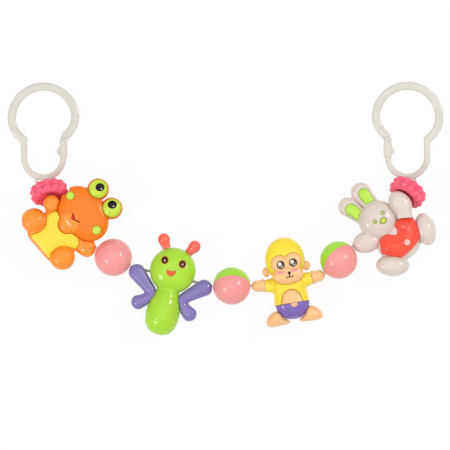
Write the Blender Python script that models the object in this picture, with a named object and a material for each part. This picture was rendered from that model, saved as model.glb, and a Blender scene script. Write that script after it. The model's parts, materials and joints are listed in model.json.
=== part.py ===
"""Pram chain toy: four hollow figures, three rattle balls and two knobbly discs on one
elastic cord, with a snap clip at each end. It lies on its back on a table: X runs to the
right end, Y towards the top of the clips and Z up from the table.

Each figure is modelled upright in its own frame, u to its right and v to its head, and is
then turned and moved to its place on the cord. Chain places follow from the bee outwards."""

import math

import bmesh
import bpy
from mathutils import Matrix, Vector

MM = 0.001

# Cord, walls and clearances
CORD_RADIUS = 1.0 * MM
GAP = 0.3 * MM
MERGE = 0.005 * MM
LINK_GAP = 0.8 * MM
WALL = 1.6 * MM
OVERRUN = 5.0 * MM
FACET = 6.6 * MM
FINE_FACET = 1.6 * MM
CORE_INSET = 2 * WALL
CORD_SIDES = 8
CAP_ANGLES = (80.0, 45.0)
GLOBE_SIDES, GLOBE_STEPS = 12, 5
ROUGHNESS = 0.3

# Rattle balls
BALL_RADIUS = 15.0 * MM
PELLET_RADIUS = 2.0 * MM
BALL_STEPS = 5
BALL_SIDES = 20
PELLET_SIDES, PELLET_STEPS = 8, 4
POLE_ANGLE = 84.0
PELLETS = 2
BALL_1_HEADING, BALL_1_ROLL = 151.5, 0.0
BALL_2_HEADING, BALL_2_ROLL = 0.0, 54.0
BALL_3_HEADING, BALL_3_ROLL = 45.0, 56.0

# Every ball and figure is split at the height of the balls' centres
SEAM = BALL_RADIUS
FIGURE_RISE = 14.0 * MM
PEG_RADIUS = 1.6 * MM
PEG_LENGTH = 4.0 * MM

# Knobbly discs, each leaning back over its clip
DISC_RADIUS = 15.2 * MM
DISC_THICKNESS = 12.0 * MM
DISC_LOBES = 12
DISC_LOBE_DEPTH = 1.8 * MM
LOBE_FACETS = 4
LOBE_POWER = 0.8
DISH_RADIUS = 10.2 * MM
DISH_DEPTH = 3.0 * MM
SCOOP = 2.4 * MM
BOWL_SIDES = 18
BOWL_SHARES = (0.12, 0.55, 1.0)
LEFT_DISC_HEADING, LEFT_DISC_LEAN = 103.0, 30.0
RIGHT_DISC_HEADING, RIGHT_DISC_LEAN = 55.0, 28.0
DISC_EDGE_SHARES = ((0.82, -0.5), (1.0, -0.26), (1.0, 0.26), (0.82, 0.5))

# Snap clips
CLIP_THICKNESS = 5.4 * MM
RING_RADIUS = 25.6 * MM
RING_BAND = 6.6 * MM
LEG_BAND = 4.9 * MM
LEG_SPAN = 31.4 * MM
LEG_LENGTH = 11.4 * MM
GATE_LENGTH = 13.8 * MM
GATE_WIDTH = 6.4 * MM
TONGUE_THICKNESS = 1.8 * MM
SLOT_THICKNESS = 2.4 * MM
TONGUE_WIDTH = 3.2 * MM
HINGE_RADIUS = 2.6 * MM
TONGUE_LENGTH = 5.0 * MM
PIN_RADIUS = 1.0 * MM
PIN_CLEARANCE = 0.25 * MM
TAB_REACH = 2.2 * MM
TAB_LENGTH = 5.6 * MM
TAB_THICKNESS = 2.6 * MM
TAB_SHARE = 0.4
KNUCKLE_DROP = 6.9 * MM
EYELET_SPAN = 12.0 * MM
EYELET_REACH = 4.0 * MM
PIN_DROP = 18.0 * MM
PIN_OFFSET = 0.3 * MM
GATE_WEB = 1.3 * MM
SLOT_SLACK = 0.9 * MM
RING_FIRST_ANGLE, RING_LAST_ANGLE, RING_END_ANGLE = 44.0, 50.0, 43.0
RING_END_SHARE = 0.93
NECK_SHARE = 0.93
BEND_STEPS, RING_STEPS = 8, 18
# Section of the clip's bar: shares of its band and of its thickness
SECTION_SHARES = ((0.5, 0.28), (0.5, 0.72), (0.28, 1.0), (-0.28, 1.0), (-0.5, 0.72), (-0.5, 0.28),
                  (-0.28, 0.0), (0.28, 0.0))
GATE_EDGE_SHARES = ((0.84, 0.0), (1.0, 0.15), (1.0, 0.85), (0.84, 1.0))
BAR_RADIUS = 1.1 * MM
BAR_INSET = 0.1 * MM
BAR_BEND = 2.2 * MM
BAR_CORNER_SHARE = 0.3
LEFT_BAR_HEADING, RIGHT_BAR_HEADING = 124.5, 57.0
LEFT_BAR_REACH, RIGHT_BAR_REACH = 6.6 * MM, 7.15 * MM
LEFT_BAR_SHIFT, RIGHT_BAR_SHIFT = 1.0 * MM, 3.6 * MM
KNOT_RADIUS = 1.9 * MM
STEM_RUN = 1.6 * MM
LOOP_STEPS = 16

# Figures: overall height, turn on the table, and how far the raised hands reach up and down
BEE_SIZE, BEE_TURN = 80.0 * MM, -13.3
BEE_PLACE = Vector((-42.1 * MM, -49.6 * MM))
FROG_SIZE, FROG_TURN = 76.0 * MM, -57.0
MONKEY_SIZE, MONKEY_TURN = 72.0 * MM, 9.5
RABBIT_SIZE, RABBIT_TURN = 76.0 * MM, 45.0

# How a dome closes in from its outline: shares of the outline and of the rise
DOME_SHARES = ((1.0, 0.0), (0.90, 0.60), (0.56, 1.0))
FEWEST_FACETS, FEWEST_ARC_FACETS = 10, 3
SMOOTH_ANGLE = 55.0
# Heights: shares of the seam height downwards and of the figure's rise upwards
WING_RISE_SHARE = 0.36
MASK_SHARE = 2.0

FROG_HEAD_SHARES = {
    "skull": (("oval", -0.038, 0.105, 0.313, 0.230, 0), 1.0, 1.0),
    "muzzle": (("oval", -0.040, 0.000, 0.250, 0.135, 6), 0.94, 0.98),
    "chin": (("oval", -0.037, -0.100, 0.100, 0.105, 0), 0.80, 0.86),
    "socket_left": (("oval", -0.171, 0.366, 0.115, 0.115, 0), 0.66, 0.82),
    "socket_right": (("oval", 0.075, 0.376, 0.115, 0.115, 0), 0.65, 0.81),
}
FROG_LIMB_SHARES = {
    "torso": (("loop", (-0.23, -0.14), (-0.27, -0.26), (-0.26, -0.43), (-0.17, -0.520), (0.02, -0.505),
               (0.19, -0.475), (0.245, -0.41), (0.24, -0.24), (0.23, -0.12), (0.06, -0.04), (-0.11, -0.04)),
              0.99, 0.50),
    "foot_left": (("oval", -0.264, -0.380, 0.132, 0.132, 0), 0.8, 0.74),
    "foot_right": (("oval", 0.224, -0.341, 0.134, 0.134, 0), 0.79, 0.73),
    "hand_right": (("oval", 0.286, -0.060, 0.100, 0.084, -45), 0.55, 0.60),
    "arm_right": (("taper", 0.19, -0.11, 0.085, 0.268, -0.088, 0.088), 0.5, 0.54),
    "arm_left": (("taper", -0.18, -0.19, 0.08, -0.295, -0.135, 0.072), 0.4, 0.60),
}
FROG_BELLY_SHARES = ("loop", (-0.195, -0.11), (-0.235, -0.165), (-0.222, -0.236), (-0.152, -0.305),
                     (-0.132, -0.39), (-0.146, -0.492), (0.0, -0.481), (0.152, -0.456), (0.122, -0.405),
                     (0.112, -0.335), (0.138, -0.260), (0.222, -0.165), (0.16, -0.09), (-0.03, -0.10))
FROG_EYE_SHARES = {"left": ("oval", -0.173, 0.371, 0.102, 0.102, 0),
                   "right": ("oval", 0.075, 0.382, 0.102, 0.102, 0)}
FROG_CHEEK_SHARES = {"left": ("oval", -0.272, 0.086, 0.045, 0.045, 0),
                     "right": ("oval", 0.180, 0.120, 0.048, 0.048, 0)}
FROG_HAND_SHARES = ("oval", -0.316, -0.125, 0.087, 0.087, 0)
FROG_ENTRY_ANGLE = 54.0
FROG_FLOOR_SHARE, FROG_SHOULDER_SHARE = 0.32, 0.46
FROG_BELLY_FLOOR_SHARE, FROG_BELLY_CROWN_SHARE = 0.36, 0.70
FROG_EYE_FLOOR_SHARE, FROG_EYE_CROWN_SHARE = 0.64, 1.04
FROG_CHEEK_FLOOR_SHARE, FROG_CHEEK_SIDE_SHARE, FROG_CHEEK_CROWN_SHARE = 0.72, 0.86, 1.0

BEE_HEAD_SHARES = ("oval", 0.0, 0.0, 0.230, 0.230, 0)
BEE_RISE_SHARE = 0.94
# Body profile: place along the body and half width there
BEE_BODY_SHARES = ((-0.170, 0.096), (-0.24, 0.124), (-0.33, 0.152), (-0.42, 0.168), (-0.51, 0.166),
                   (-0.58, 0.144), (-0.63, 0.102), (-0.658, 0.036))
BEE_GROOVE_SHARES = (-0.273, -0.354, -0.436, -0.517, -0.598)
BEE_GROOVE_DEPTH = 0.6 * MM
BEE_GROOVE_WIDTH = 0.9 * MM
BEE_WING_SHARES = (("taper", 0.142, -0.268, 0.052, 0.3425, -0.100, 0.085),
                   ("taper", 0.138, -0.300, 0.050, 0.260, -0.385, 0.075))
BEE_BARREL_SIDES = 20
BEE_PEG_SHARE = -0.285
BEE_CORD_SHARE = -0.060
BEE_KNOB_SHARE = (0.158, 0.284, 0.060)
BEE_STEM_SHARES = ((0.092, 0.155), (0.110, 0.205), (0.150, 0.262))
BEE_STEM_RADIUS = 1.6 * MM

MONKEY_LOBE_SHARES = {
    "hood": (("oval", 0.002, 0.008, 0.221, 0.252, 0), 1.0, 0.88),
    "torso": (("loop", (-0.10, -0.14), (-0.18, -0.24), (-0.187, -0.38), (-0.18, -0.53), (0.0, -0.57),
               (0.18, -0.53), (0.187, -0.38), (0.18, -0.24), (0.10, -0.14)), 1.0, 0.80),
    "arm_left": (("taper", -0.13, -0.250, 0.092, -0.265, -0.243, 0.071), 0.6, 0.52),
    "arm_right": (("taper", 0.13, -0.247, 0.092, 0.265, -0.240, 0.071), 0.6, 0.52),
}
MONKEY_FACE_SHARES = {
    "brow_left": (("oval", -0.064, -0.022, 0.096, 0.092, 0), 1.0),
    "brow_right": (("oval", 0.086, -0.018, 0.096, 0.094, 0), 1.0),
    "muzzle": (("oval", 0.011, -0.161, 0.172, 0.103, 0), 1.13),
}
MONKEY_BELLY_SHARES = ("loop", (-0.115, -0.55), (-0.112, -0.44), (-0.075, -0.355), (0.0, -0.322),
                       (0.07, -0.345), (0.115, -0.42), (0.122, -0.55))
MONKEY_HAND_SHARES = ("taper", 0.292, -0.232, 0.081, 0.348, -0.228, 0.065)
MONKEY_FOOT_SHARES = ("loop", (0.055, -0.688), (0.16, -0.706), (0.285, -0.704), (0.318, -0.668),
                      (0.302, -0.605), (0.252, -0.562), (0.19, -0.568), (0.105, -0.625))
MONKEY_ANKLE_SHARES = ("oval", 0.192, -0.600, 0.064, 0.062, 0)
MONKEY_PANTS_SHARES = ("oval", 0.004, -0.472, 0.193, 0.186, 0)
MONKEY_EAR_SHARES = ("oval", 0.226, -0.090, 0.042, 0.056, 0)
MONKEY_CORD_SHARE = -0.217
MONKEY_WAIST_SHARE = -0.475
MONKEY_WRIST_SHARE = 0.262
MONKEY_PLUG_SHARES = ("oval", 0.0, -0.475, 0.110, 0.050, 0)
MONKEY_FLOOR_SHARE, MONKEY_SHOULDER_SHARE, MONKEY_BELLY_CROWN_SHARE = 0.42, 0.60, 0.86
MONKEY_CORD_ANGLE = 10.0
MONKEY_HIP_SHARE = 0.45
EAR_PEG_LENGTH = 1.0 * MM
MONKEY_LIMB_SHARES = {"hand": (0.5, 0.50), "foot": (0.62, 0.62), "pants": (0.86, 0.86), "ear": (0.25, 0.28)}

RABBIT_LOBE_SHARES = {
    "head": (("oval", 0.0, 0.0, 0.208, 0.208, 0), 1.0, 0.94),
    "torso": (("oval", 0.013, -0.29, 0.25, 0.23, 0), 0.99, 0.62),
    "ear_right": (("taper", 0.063, 0.158, 0.083, 0.076, 0.334, 0.107), 0.5, 0.46),
    "ear_left": (("taper", -0.102, 0.150, 0.079, -0.126, 0.320, 0.105), 0.49, 0.45),
    "arm_left": (("oval", -0.246, -0.078, 0.156, 0.113, 152), 0.70, 0.66),
    "foot_right": (("oval", 0.283, -0.417, 0.174, 0.110, 59.5), 0.80, 0.80),
    "foot_left": (("oval", -0.228, -0.443, 0.178, 0.115, -45), 0.79, 0.79),
}
RABBIT_HAND_SHARES = ("oval", 0.290, -0.034, 0.108, 0.140, 0)
RABBIT_SHOULDER_SHARES = ("taper", 0.278, -0.05, 0.09, 0.21, -0.20, 0.08)
RABBIT_SHOULDER_DROP_SHARE, RABBIT_SHOULDER_RISE_SHARE = 0.40, 0.9
RABBIT_EAR_PLATE_SHARES = {"right": ("taper", 0.066, 0.165, 0.050, 0.086, 0.303, 0.060),
                           "left": ("taper", -0.104, 0.150, 0.050, -0.125, 0.283, 0.062)}
RABBIT_NOSE_SHARES = ("oval", 0.030, -0.037, 0.034, 0.030, 0)
RABBIT_HEART_SHARES = ("loop", (0.022, -0.240), (0.066, -0.212), (0.082, -0.160), (0.123, -0.140),
                       (0.175, -0.152), (0.225, -0.192), (0.262, -0.232), (0.266, -0.285), (0.205, -0.400),
                       (0.168, -0.441), (0.098, -0.458), (-0.075, -0.456), (-0.122, -0.424),
                       (-0.220, -0.288), (-0.208, -0.242), (-0.140, -0.162), (-0.090, -0.156),
                       (-0.037, -0.178))
RABBIT_ENTRY_ANGLE = 152.0
RABBIT_EAR_FLOOR_SHARE, RABBIT_EAR_SIDE_SHARE, RABBIT_EAR_CROWN_SHARE = 0.22, 0.38, 0.54
RABBIT_HEART_FLOOR_SHARE, RABBIT_HEART_SIDE_SHARE, RABBIT_HEART_CROWN_SHARE = 0.40, 0.60, 1.0
RABBIT_NOSE_FLOOR_SHARE, RABBIT_NOSE_SIDE_SHARE, RABBIT_NOSE_CROWN_SHARE = 0.76, 0.92, 1.08
# The heart's facets: shares of the outline and of the rise
FACET_SHARES = ((1.0, 0.0), (0.97, 0.35), (0.70, 0.85), (0.45, 1.0))

COLOURS = {
    "off_white": (0.80, 0.77, 0.72), "pink": (1.0, 0.20, 0.32), "soft_pink": (1.0, 0.42, 0.42),
    "green": (0.42, 0.80, 0.10), "orange": (1.0, 0.22, 0.02), "light_orange": (1.0, 0.36, 0.08),
    "yellow": (1.0, 0.72, 0.07), "lime": (0.60, 0.82, 0.10), "purple": (0.26, 0.20, 0.52),
    "coral": (1.0, 0.18, 0.12), "peach": (1.0, 0.56, 0.30), "grey": (0.70, 0.62, 0.56),
    "cord": (0.55, 0.55, 0.55),
}


def clear_scene():
    for obj in list(bpy.data.objects):
        bpy.data.objects.remove(obj, do_unlink=True)


def material(colour):
    made = bpy.data.materials.get(colour)
    if made is None:
        made = bpy.data.materials.new(colour)
        made.use_nodes = True
        shader = made.node_tree.nodes["Principled BSDF"]
        shader.inputs["Base Color"].default_value = (*COLOURS[colour], 1.0)
        shader.inputs["Roughness"].default_value = ROUGHNESS
        shader.inputs["Metallic"].default_value = 0.0
    return made


def direction(angle, lean=0.0):
    """Unit vector at this heading on the table, leaning up by the second angle."""
    level = math.cos(math.radians(lean))
    return Vector((level * math.cos(math.radians(angle)), level * math.sin(math.radians(angle)),
                   math.sin(math.radians(lean))))


# Outlines. Each gives its points and, for each point, the spine point that it closes in to.

def facets(length, facet):
    return max(FEWEST_FACETS, 2 * round(length / facet / 2))


def oval(shares, size, grow, facet):
    u, v, ru, rv, turn = shares
    count = facets(math.pi * (ru + rv) * size, facet)
    centre = Vector((u * size, v * size))
    spin = Matrix.Rotation(math.radians(turn), 2)
    points = []
    for step in range(count):
        angle = 2 * math.pi * step / count
        rim = Vector(((ru * size + grow) * math.cos(angle), (rv * size + grow) * math.sin(angle)))
        points.append(centre + spin @ rim)
    return points, [centre] * count


def taper(shares, size, grow, facet):
    root = Vector(shares[0:2]) * size
    tip = Vector(shares[3:5]) * size
    root_radius, tip_radius = shares[2] * size + grow, shares[5] * size + grow
    run = tip - root
    heading = math.atan2(run.y, run.x)
    reach = math.acos((root_radius - tip_radius) / run.length)
    points, spine = [], []
    for centre, radius, start, sweep in ((tip, tip_radius, heading - reach, 2 * reach),
                                         (root, root_radius, heading + reach, 2 * math.pi - 2 * reach)):
        steps = max(FEWEST_ARC_FACETS, round(radius * sweep / facet))
        for step in range(steps + 1):
            angle = start + sweep * step / steps
            points.append(centre + radius * Vector((math.cos(angle), math.sin(angle))))
            spine.append(centre)
    return points, spine


def curve_between(before, start, end, after, share):
    """Point on a Catmull-Rom curve, this share of the way from start to end."""
    return 0.5 * ((2 * start) + (end - before) * share
                  + (2 * before - 5 * start + 4 * end - after) * share ** 2
                  + (3 * start - before - 3 * end + after) * share ** 3)


def loop(shares, size, grow, facet):
    corners = [Vector(share) * size for share in shares]
    centre = sum(corners, Vector((0, 0))) / len(corners)
    points = []
    for index in range(len(corners)):
        before, start = corners[index - 1], corners[index]
        end, after = corners[(index + 1) % len(corners)], corners[(index + 2) % len(corners)]
        steps = max(1, round((end - start).length / facet))
        points += [curve_between(before, start, end, after, step / steps) for step in range(steps)]
    twice_area = sum(points[i - 1].cross(points[i]) for i in range(len(points)))
    side = math.copysign(1, twice_area)
    grown = []
    for index, point in enumerate(points):
        along = (points[(index + 1) % len(points)] - points[index - 1]).normalized()
        grown.append(point + side * grow * Vector((along.y, -along.x)))
    return grown, [centre] * len(grown)


OUTLINES = {"oval": oval, "taper": taper, "loop": loop}


def trace(shape, size, grow=0.0, facet=FACET):
    kind, *shares = shape
    return OUTLINES[kind](shares, size, grow, facet)


def mirrored(shape):
    """The same outline on the other side of the figure's midline."""
    kind, *shares = shape
    if kind == "oval":
        u, v, ru, rv, turn = shares
        return (kind, -u, v, ru, rv, -turn)
    if kind == "loop":
        return (kind, *[(-u, v) for u, v in reversed(shares)])
    return (kind, -shares[0], shares[1], shares[2], -shares[3], shares[4], shares[5])


# Solids

def lofted(name, rings, capped=True):
    """Closed mesh through the rings, which all have the same number of points."""
    shape = bmesh.new()
    rows = [[shape.verts.new(point) for point in ring] for ring in rings]
    pairs = list(zip(rows, rows[1:])) if capped else list(zip(rows, rows[1:] + rows[:1]))
    for low, high in pairs:
        for index in range(len(low)):
            shape.faces.new((low[index - 1], low[index], high[index], high[index - 1]))
    if capped:
        shape.faces.new(rows[0])
        shape.faces.new(reversed(rows[-1]))
    bmesh.ops.recalc_face_normals(shape, faces=shape.faces[:])
    mesh = bpy.data.meshes.new(name)
    shape.to_mesh(mesh)
    shape.free()
    obj = bpy.data.objects.new(name, mesh)
    bpy.context.scene.collection.objects.link(obj)
    return obj


def dome(foot, shoulder, crown, shares=DOME_SHARES):
    """Straight side from foot to shoulder, then closing in to a small flat crown."""
    return [(1.0, foot)] + [(share, shoulder + rise * (crown - shoulder)) for share, rise in shares]


def pillow(low, middle, high):
    """Closing in to a small flat both ways from the widest level."""
    down = [(share, middle + rise * (low - middle)) for share, rise in DOME_SHARES[1:]]
    return down[::-1] + [(share, middle + rise * (high - middle)) for share, rise in DOME_SHARES]


def prism(low, high):
    return [(1.0, low), (1.0, high)]


def lump(shape, size, levels, grow=0.0, name="lump", facet=FACET):
    points, spine = trace(shape, size, grow, facet)
    rings = [[(*(near + (point - near) * share), height) for point, near in zip(points, spine)]
             for share, height in levels]
    return lofted(name, rings)


def slab(low, high, name="slab"):
    """Plain block between two corners."""
    corners = ((low[0], low[1]), (high[0], low[1]), (high[0], high[1]), (low[0], high[1]))
    return lofted(name, [[(*corner, height) for corner in corners] for height in (low[2], high[2])])


def across(ring_centre, along, radius, sides, upright=Vector((0, 0, 1))):
    """Ring of points round a line through the centre."""
    side = along.cross(upright).normalized()
    top = side.cross(along).normalized()
    turns = [2 * math.pi * (step + 0.5) / sides for step in range(sides)]
    return [ring_centre + radius * (math.cos(turn) * side + math.sin(turn) * top) for turn in turns]


def tube(points, radius, sides=CORD_SIDES, rounded=True, name="tube", upright=Vector((0, 0, 1))):
    """Tube along the points, whose rounded ends stop at the first and last point."""
    path = [Vector(point) for point in points]
    rings = []
    first, last = (path[1] - path[0]).normalized(), (path[-1] - path[-2]).normalized()
    if rounded:
        path[0], path[-1] = path[0] + first * radius, path[-1] - last * radius
        for angle in CAP_ANGLES:
            bulge, narrow = math.sin(math.radians(angle)), math.cos(math.radians(angle))
            rings.append(across(path[0] - first * bulge * radius, first, radius * narrow, sides, upright))
    for index, point in enumerate(path):
        along = path[min(index + 1, len(path) - 1)] - path[max(index - 1, 0)]
        rings.append(across(point, along.normalized(), radius, sides, upright))
    if rounded:
        for angle in reversed(CAP_ANGLES):
            bulge, narrow = math.sin(math.radians(angle)), math.cos(math.radians(angle))
            rings.append(across(path[-1] + last * bulge * radius, last, radius * narrow, sides, upright))
    return lofted(name, rings)


def smooth_route(points, steps=2):
    """Points along an open Catmull-Rom curve through the given ones."""
    path = [Vector(point) for point in points]
    ends = [2 * path[0] - path[1]] + path + [2 * path[-1] - path[-2]]
    route = []
    for index in range(1, len(ends) - 2):
        route += [curve_between(*ends[index - 1:index + 3], step / steps) for step in range(steps)]
    return route + [path[-1]]


def globe(centre, radius, sides=GLOBE_SIDES, steps=GLOBE_STEPS, name="globe"):
    pole = math.radians(CAP_ANGLES[0])
    rings = []
    for step in range(steps):
        angle = pole * (2 * step / (steps - 1) - 1)
        level = radius * math.cos(angle)
        height = centre[2] + radius * math.sin(angle) / math.sin(pole)
        turns = [2 * math.pi * side / sides for side in range(sides)]
        rings.append([(centre[0] + level * math.cos(turn), centre[1] + level * math.sin(turn), height)
                      for turn in turns])
    return lofted(name, rings)


def apply_modifiers(obj):
    graph = bpy.context.evaluated_depsgraph_get()
    mesh = bpy.data.meshes.new_from_object(obj.evaluated_get(graph))
    old = obj.data
    obj.modifiers.clear()
    obj.data = mesh
    bpy.data.meshes.remove(old)


def tidied(obj):
    """Merge the near-double points that a Boolean leaves."""
    shape = bmesh.new()
    shape.from_mesh(obj.data)
    bmesh.ops.remove_doubles(shape, verts=shape.verts[:], dist=MERGE)
    bmesh.ops.dissolve_degenerate(shape, edges=shape.edges[:], dist=MERGE)
    shape.to_mesh(obj.data)
    shape.free()
    return obj


def combine(target, tools, operation):
    for tool in tools:
        change = target.modifiers.new(operation.lower(), "BOOLEAN")
        change.operation = operation
        change.solver = "EXACT"
        change.object = tool
    apply_modifiers(target)
    return tidied(target)


def discard(objects):
    for obj in objects:
        bpy.data.objects.remove(obj, do_unlink=True)


def cut(target, tools, keep=False):
    combine(target, tools, "DIFFERENCE")
    if not keep:
        discard(tools)
    return target


def union(pieces, name):
    combine(pieces[0], pieces[1:], "UNION")
    discard(pieces[1:])
    pieces[0].name = name
    return pieces[0]


def copy_of(obj, name):
    twin = bpy.data.objects.new(name, obj.data.copy())
    bpy.context.scene.collection.objects.link(twin)
    return twin


def sliced(obj, level, side):
    """Keep what lies above the level, or below it for side -1, and close the cut."""
    shape = bmesh.new()
    shape.from_mesh(obj.data)
    everything = shape.verts[:] + shape.edges[:] + shape.faces[:]
    made = bmesh.ops.bisect_plane(shape, geom=everything, dist=MERGE, plane_co=(0, 0, level),
                                  plane_no=(0, 0, side), clear_inner=True)
    rim = [item for item in made["geom_cut"] if isinstance(item, bmesh.types.BMEdge)]
    bmesh.ops.triangle_fill(shape, use_beauty=True, edges=rim, normal=(0, 0, -side))
    shape.to_mesh(obj.data)
    shape.free()
    return tidied(obj)


def halves(whole, name):
    """Back and front shells, either side of the seam."""
    back, front = copy_of(whole, name + "_back_shell"), whole
    front.name = name + "_front_shell"
    return sliced(back, SEAM - GAP / 2, -1), sliced(front, SEAM + GAP / 2, 1)


# Bodies. An empty on each joint's pivot carries the pieces that turn about it.

def pivot(name, place, parent=None):
    empty = bpy.data.objects.new(name, None)
    bpy.context.scene.collection.objects.link(empty)
    empty.location = Vector(place) - (PLACES[parent] if parent else Vector((0, 0, 0)))
    if parent:
        empty.parent = bpy.data.objects[parent]
    PLACES[name] = Vector(place)
    return empty


PLACES = {}


def carry(body, obj, colour, matrix=Matrix()):
    """Finish a piece: bake its place, give it its material and hang it on its body's pivot."""
    place = PLACES[body]
    obj.data.transform(Matrix.Translation(-place) @ matrix)
    obj.parent = bpy.data.objects[body]
    obj.data.materials.clear()
    obj.data.materials.append(material(colour))
    obj.data.shade_smooth()
    obj.data.set_sharp_from_angle(angle=math.radians(SMOOTH_ANGLE))
    return obj


# Places along the cord

def rim_radius(shape, size, angle):
    """Distance from an oval's centre to its rim at this angle."""
    ru, rv, turn = shape[3] * size, shape[4] * size, shape[5]
    off = math.radians(angle - turn)
    return ru * rv / math.hypot(rv * math.cos(off), ru * math.sin(off))


def anchor(shape, size, angle):
    """Pivot just outside an oval, or a taper's round tip, in the middle of the gap to the next piece."""
    if shape[0] == "taper":
        tip_radius = shape[6]
        shape = ("oval", shape[4], shape[5], tip_radius, tip_radius, 0)
    reach = rim_radius(shape, size, angle) + LINK_GAP / 2
    centre = Vector((shape[1] * size, shape[2] * size, SEAM))
    return centre + reach * direction(angle)


def placed(turn, local, world):
    """Matrix that turns a figure and brings its local point to the world point."""
    spin = Matrix.Rotation(math.radians(turn), 4, "Z")
    local_level, world_level = Vector((local[0], local[1], 0)), Vector((world[0], world[1], 0))
    return Matrix.Translation(world_level) @ spin @ Matrix.Translation(-local_level)


def disc_height(lean):
    """Height of a leaning disc's centre when its lower edge rests on the table."""
    angle = math.radians(lean)
    return DISC_RADIUS * math.cos(angle) + DISC_THICKNESS / 2 * math.sin(angle)


def dish_reach():
    """From the disc's centre along its axis to the middle of the gap in the dish."""
    return DISC_THICKNESS / 2 - DISH_DEPTH + LINK_GAP / 2


def hand_point(centre, radius, heading, lean):
    """Pivot in the dish and height of the hand's centre, for a hand whose centre is given on the table."""
    pivot_height = disc_height(lean) + dish_reach() * math.sin(math.radians(lean))
    reach = radius + LINK_GAP / 2
    spot = Vector((centre[0], centre[1], 0)) + reach * math.cos(math.radians(lean)) * direction(heading)
    spot.z = pivot_height
    return spot, pivot_height + reach * math.sin(math.radians(lean))


# Figures

def height(rise):
    """Level above the seam, as a share of the figures' rise."""
    return SEAM + FIGURE_RISE * rise


def depth(drop):
    """Level below the seam, as a share of the seam's height over the table."""
    return SEAM * (1 - drop)


def swollen(shape, size, drop, rise, grow=0.0, name="lump"):
    return lump(shape, size, pillow(depth(drop), SEAM, height(rise)), grow, name)


def hollowed(shapes, size, ceiling, shrink):
    """Cavity under the front's pockets, open at the seam between the shells."""
    return union([lump(shape, size, pillow(WALL, SEAM, ceiling), -inset)
                  for shape, inset in zip(shapes, shrink)], "hollow")


def mask(shapes, size, floor, grow=GAP):
    return [lump(shape, size, prism(floor, height(MASK_SHARE)), grow) for shape in shapes]


def seated(host, shape, size, name, floor, shoulder, crown, shares=DOME_SHARES, behind=()):
    """Coloured piece in its own pocket in the host's front, ending at the outlines that it lies behind."""
    piece = lump(shape, size, dome(height(floor) + GAP, height(shoulder), height(crown), shares), name=name)
    pocket = mask([shape], size, height(floor))
    over = prism(-OVERRUN, height(MASK_SHARE) + OVERRUN)
    for outline in behind:
        cut(piece, [lump(outline, size, over, GAP)])
        cut(pocket[0], [lump(outline, size, over)])
    cut(host, pocket)
    return piece


def pegged(piece, start, end, hosts):
    """Peg from the piece into its hosts, with clearance all round."""
    run = (end - start).normalized()
    union([piece, tube([start, end], PEG_RADIUS, rounded=False)], piece.name)
    socket = tube([start, end + run * GAP], PEG_RADIUS + GAP, rounded=False)
    for host in hosts:
        cut(host, [socket], keep=True)
    discard([socket])


def bore(route):
    """Cutter for a cord's way, run out past both ends."""
    path = [Vector(point) for point in route]
    path[0] -= (path[1] - path[0]).normalized() * OVERRUN
    path[-1] += (path[-1] - path[-2]).normalized() * OVERRUN
    return tube(path, CORD_RADIUS + GAP, rounded=False, name="bore")


def disc_spot(start, heading, lean):
    """Centre of the disc whose dish takes the pivot, and its axis, which points up at the hand."""
    axis = direction(heading + 180, lean)
    return start - axis * dish_reach(), axis


def disc_scoop(start, heading, lean):
    """Room for the disc to swing: a ring round it, which leaves the hand in the dish alone."""
    centre, axis = disc_spot(start, heading, lean)
    half = DISC_THICKNESS / 2 + SCOOP
    ring = lump(("oval", 0, 0, DISC_RADIUS + SCOOP, DISC_RADIUS + SCOOP, 0), 1.0, prism(-half, half))
    cut(ring, [bowl(LINK_GAP)])
    ring.data.transform(Matrix.Translation(centre) @ axis.to_track_quat("Z", "Y").to_matrix().to_4x4())
    return ring


def finish_figure(body, matrix, whole, name, colour, route, pieces):
    for shell in halves(whole, name):
        cut(shell, [bore(route)])
        carry(body, shell, colour, matrix)
    for piece, piece_colour in pieces:
        carry(body, piece, piece_colour, matrix)
    carry(body, cord(f"cord_{name}", route), "cord", matrix)


# Bee

def wing_tip(side):
    """Pivot at the wing's tip, on the cord's line."""
    tip_u, tip_v, tip_radius = BEE_WING_SHARES[0][4:7]
    reach = tip_u + math.sqrt(tip_radius ** 2 - (BEE_CORD_SHARE - tip_v) ** 2)
    return Vector((side * (reach * BEE_SIZE + LINK_GAP / 2), BEE_CORD_SHARE * BEE_SIZE, SEAM))


def body_half_width(place):
    """Share of the bee's size that its body reaches to each side, this far along it."""
    rows = [Vector(row) for row in BEE_BODY_SHARES]
    for index in range(len(rows) - 1):
        if rows[index].x >= place >= rows[index + 1].x:
            share = (rows[index].x - place) / (rows[index].x - rows[index + 1].x)
            before, after = rows[max(index - 1, 0)], rows[min(index + 2, len(rows) - 1)]
            return curve_between(before, rows[index], rows[index + 1], after, share).y
    return rows[-1].y


def bee_outline():
    side = [(body_half_width(place), place) for place, _ in BEE_BODY_SHARES]
    return ("loop", *side, *[(-half, place) for half, place in reversed(side)])


def bee_barrel():
    """Ribbed body: rings along it, drawn in at each groove."""
    half_groove = BEE_GROOVE_WIDTH / BEE_SIZE / 2
    places = [(place, 0.0) for place, _ in BEE_BODY_SHARES
              if all(abs(place - groove) > 2 * half_groove for groove in BEE_GROOVE_SHARES)]
    for groove in BEE_GROOVE_SHARES:
        places += [(groove + half_groove, 0.0), (groove, BEE_GROOVE_DEPTH), (groove - half_groove, 0.0)]
    rings = []
    for place, drawn in sorted(places, reverse=True):
        half = body_half_width(place) * BEE_SIZE - drawn
        turns = [2 * math.pi * step / BEE_BARREL_SIDES for step in range(BEE_BARREL_SIDES)]
        rings.append([(half * math.cos(turn), place * BEE_SIZE, SEAM + half * math.sin(turn))
                      for turn in turns])
    return lofted("bee_body", rings)


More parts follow.
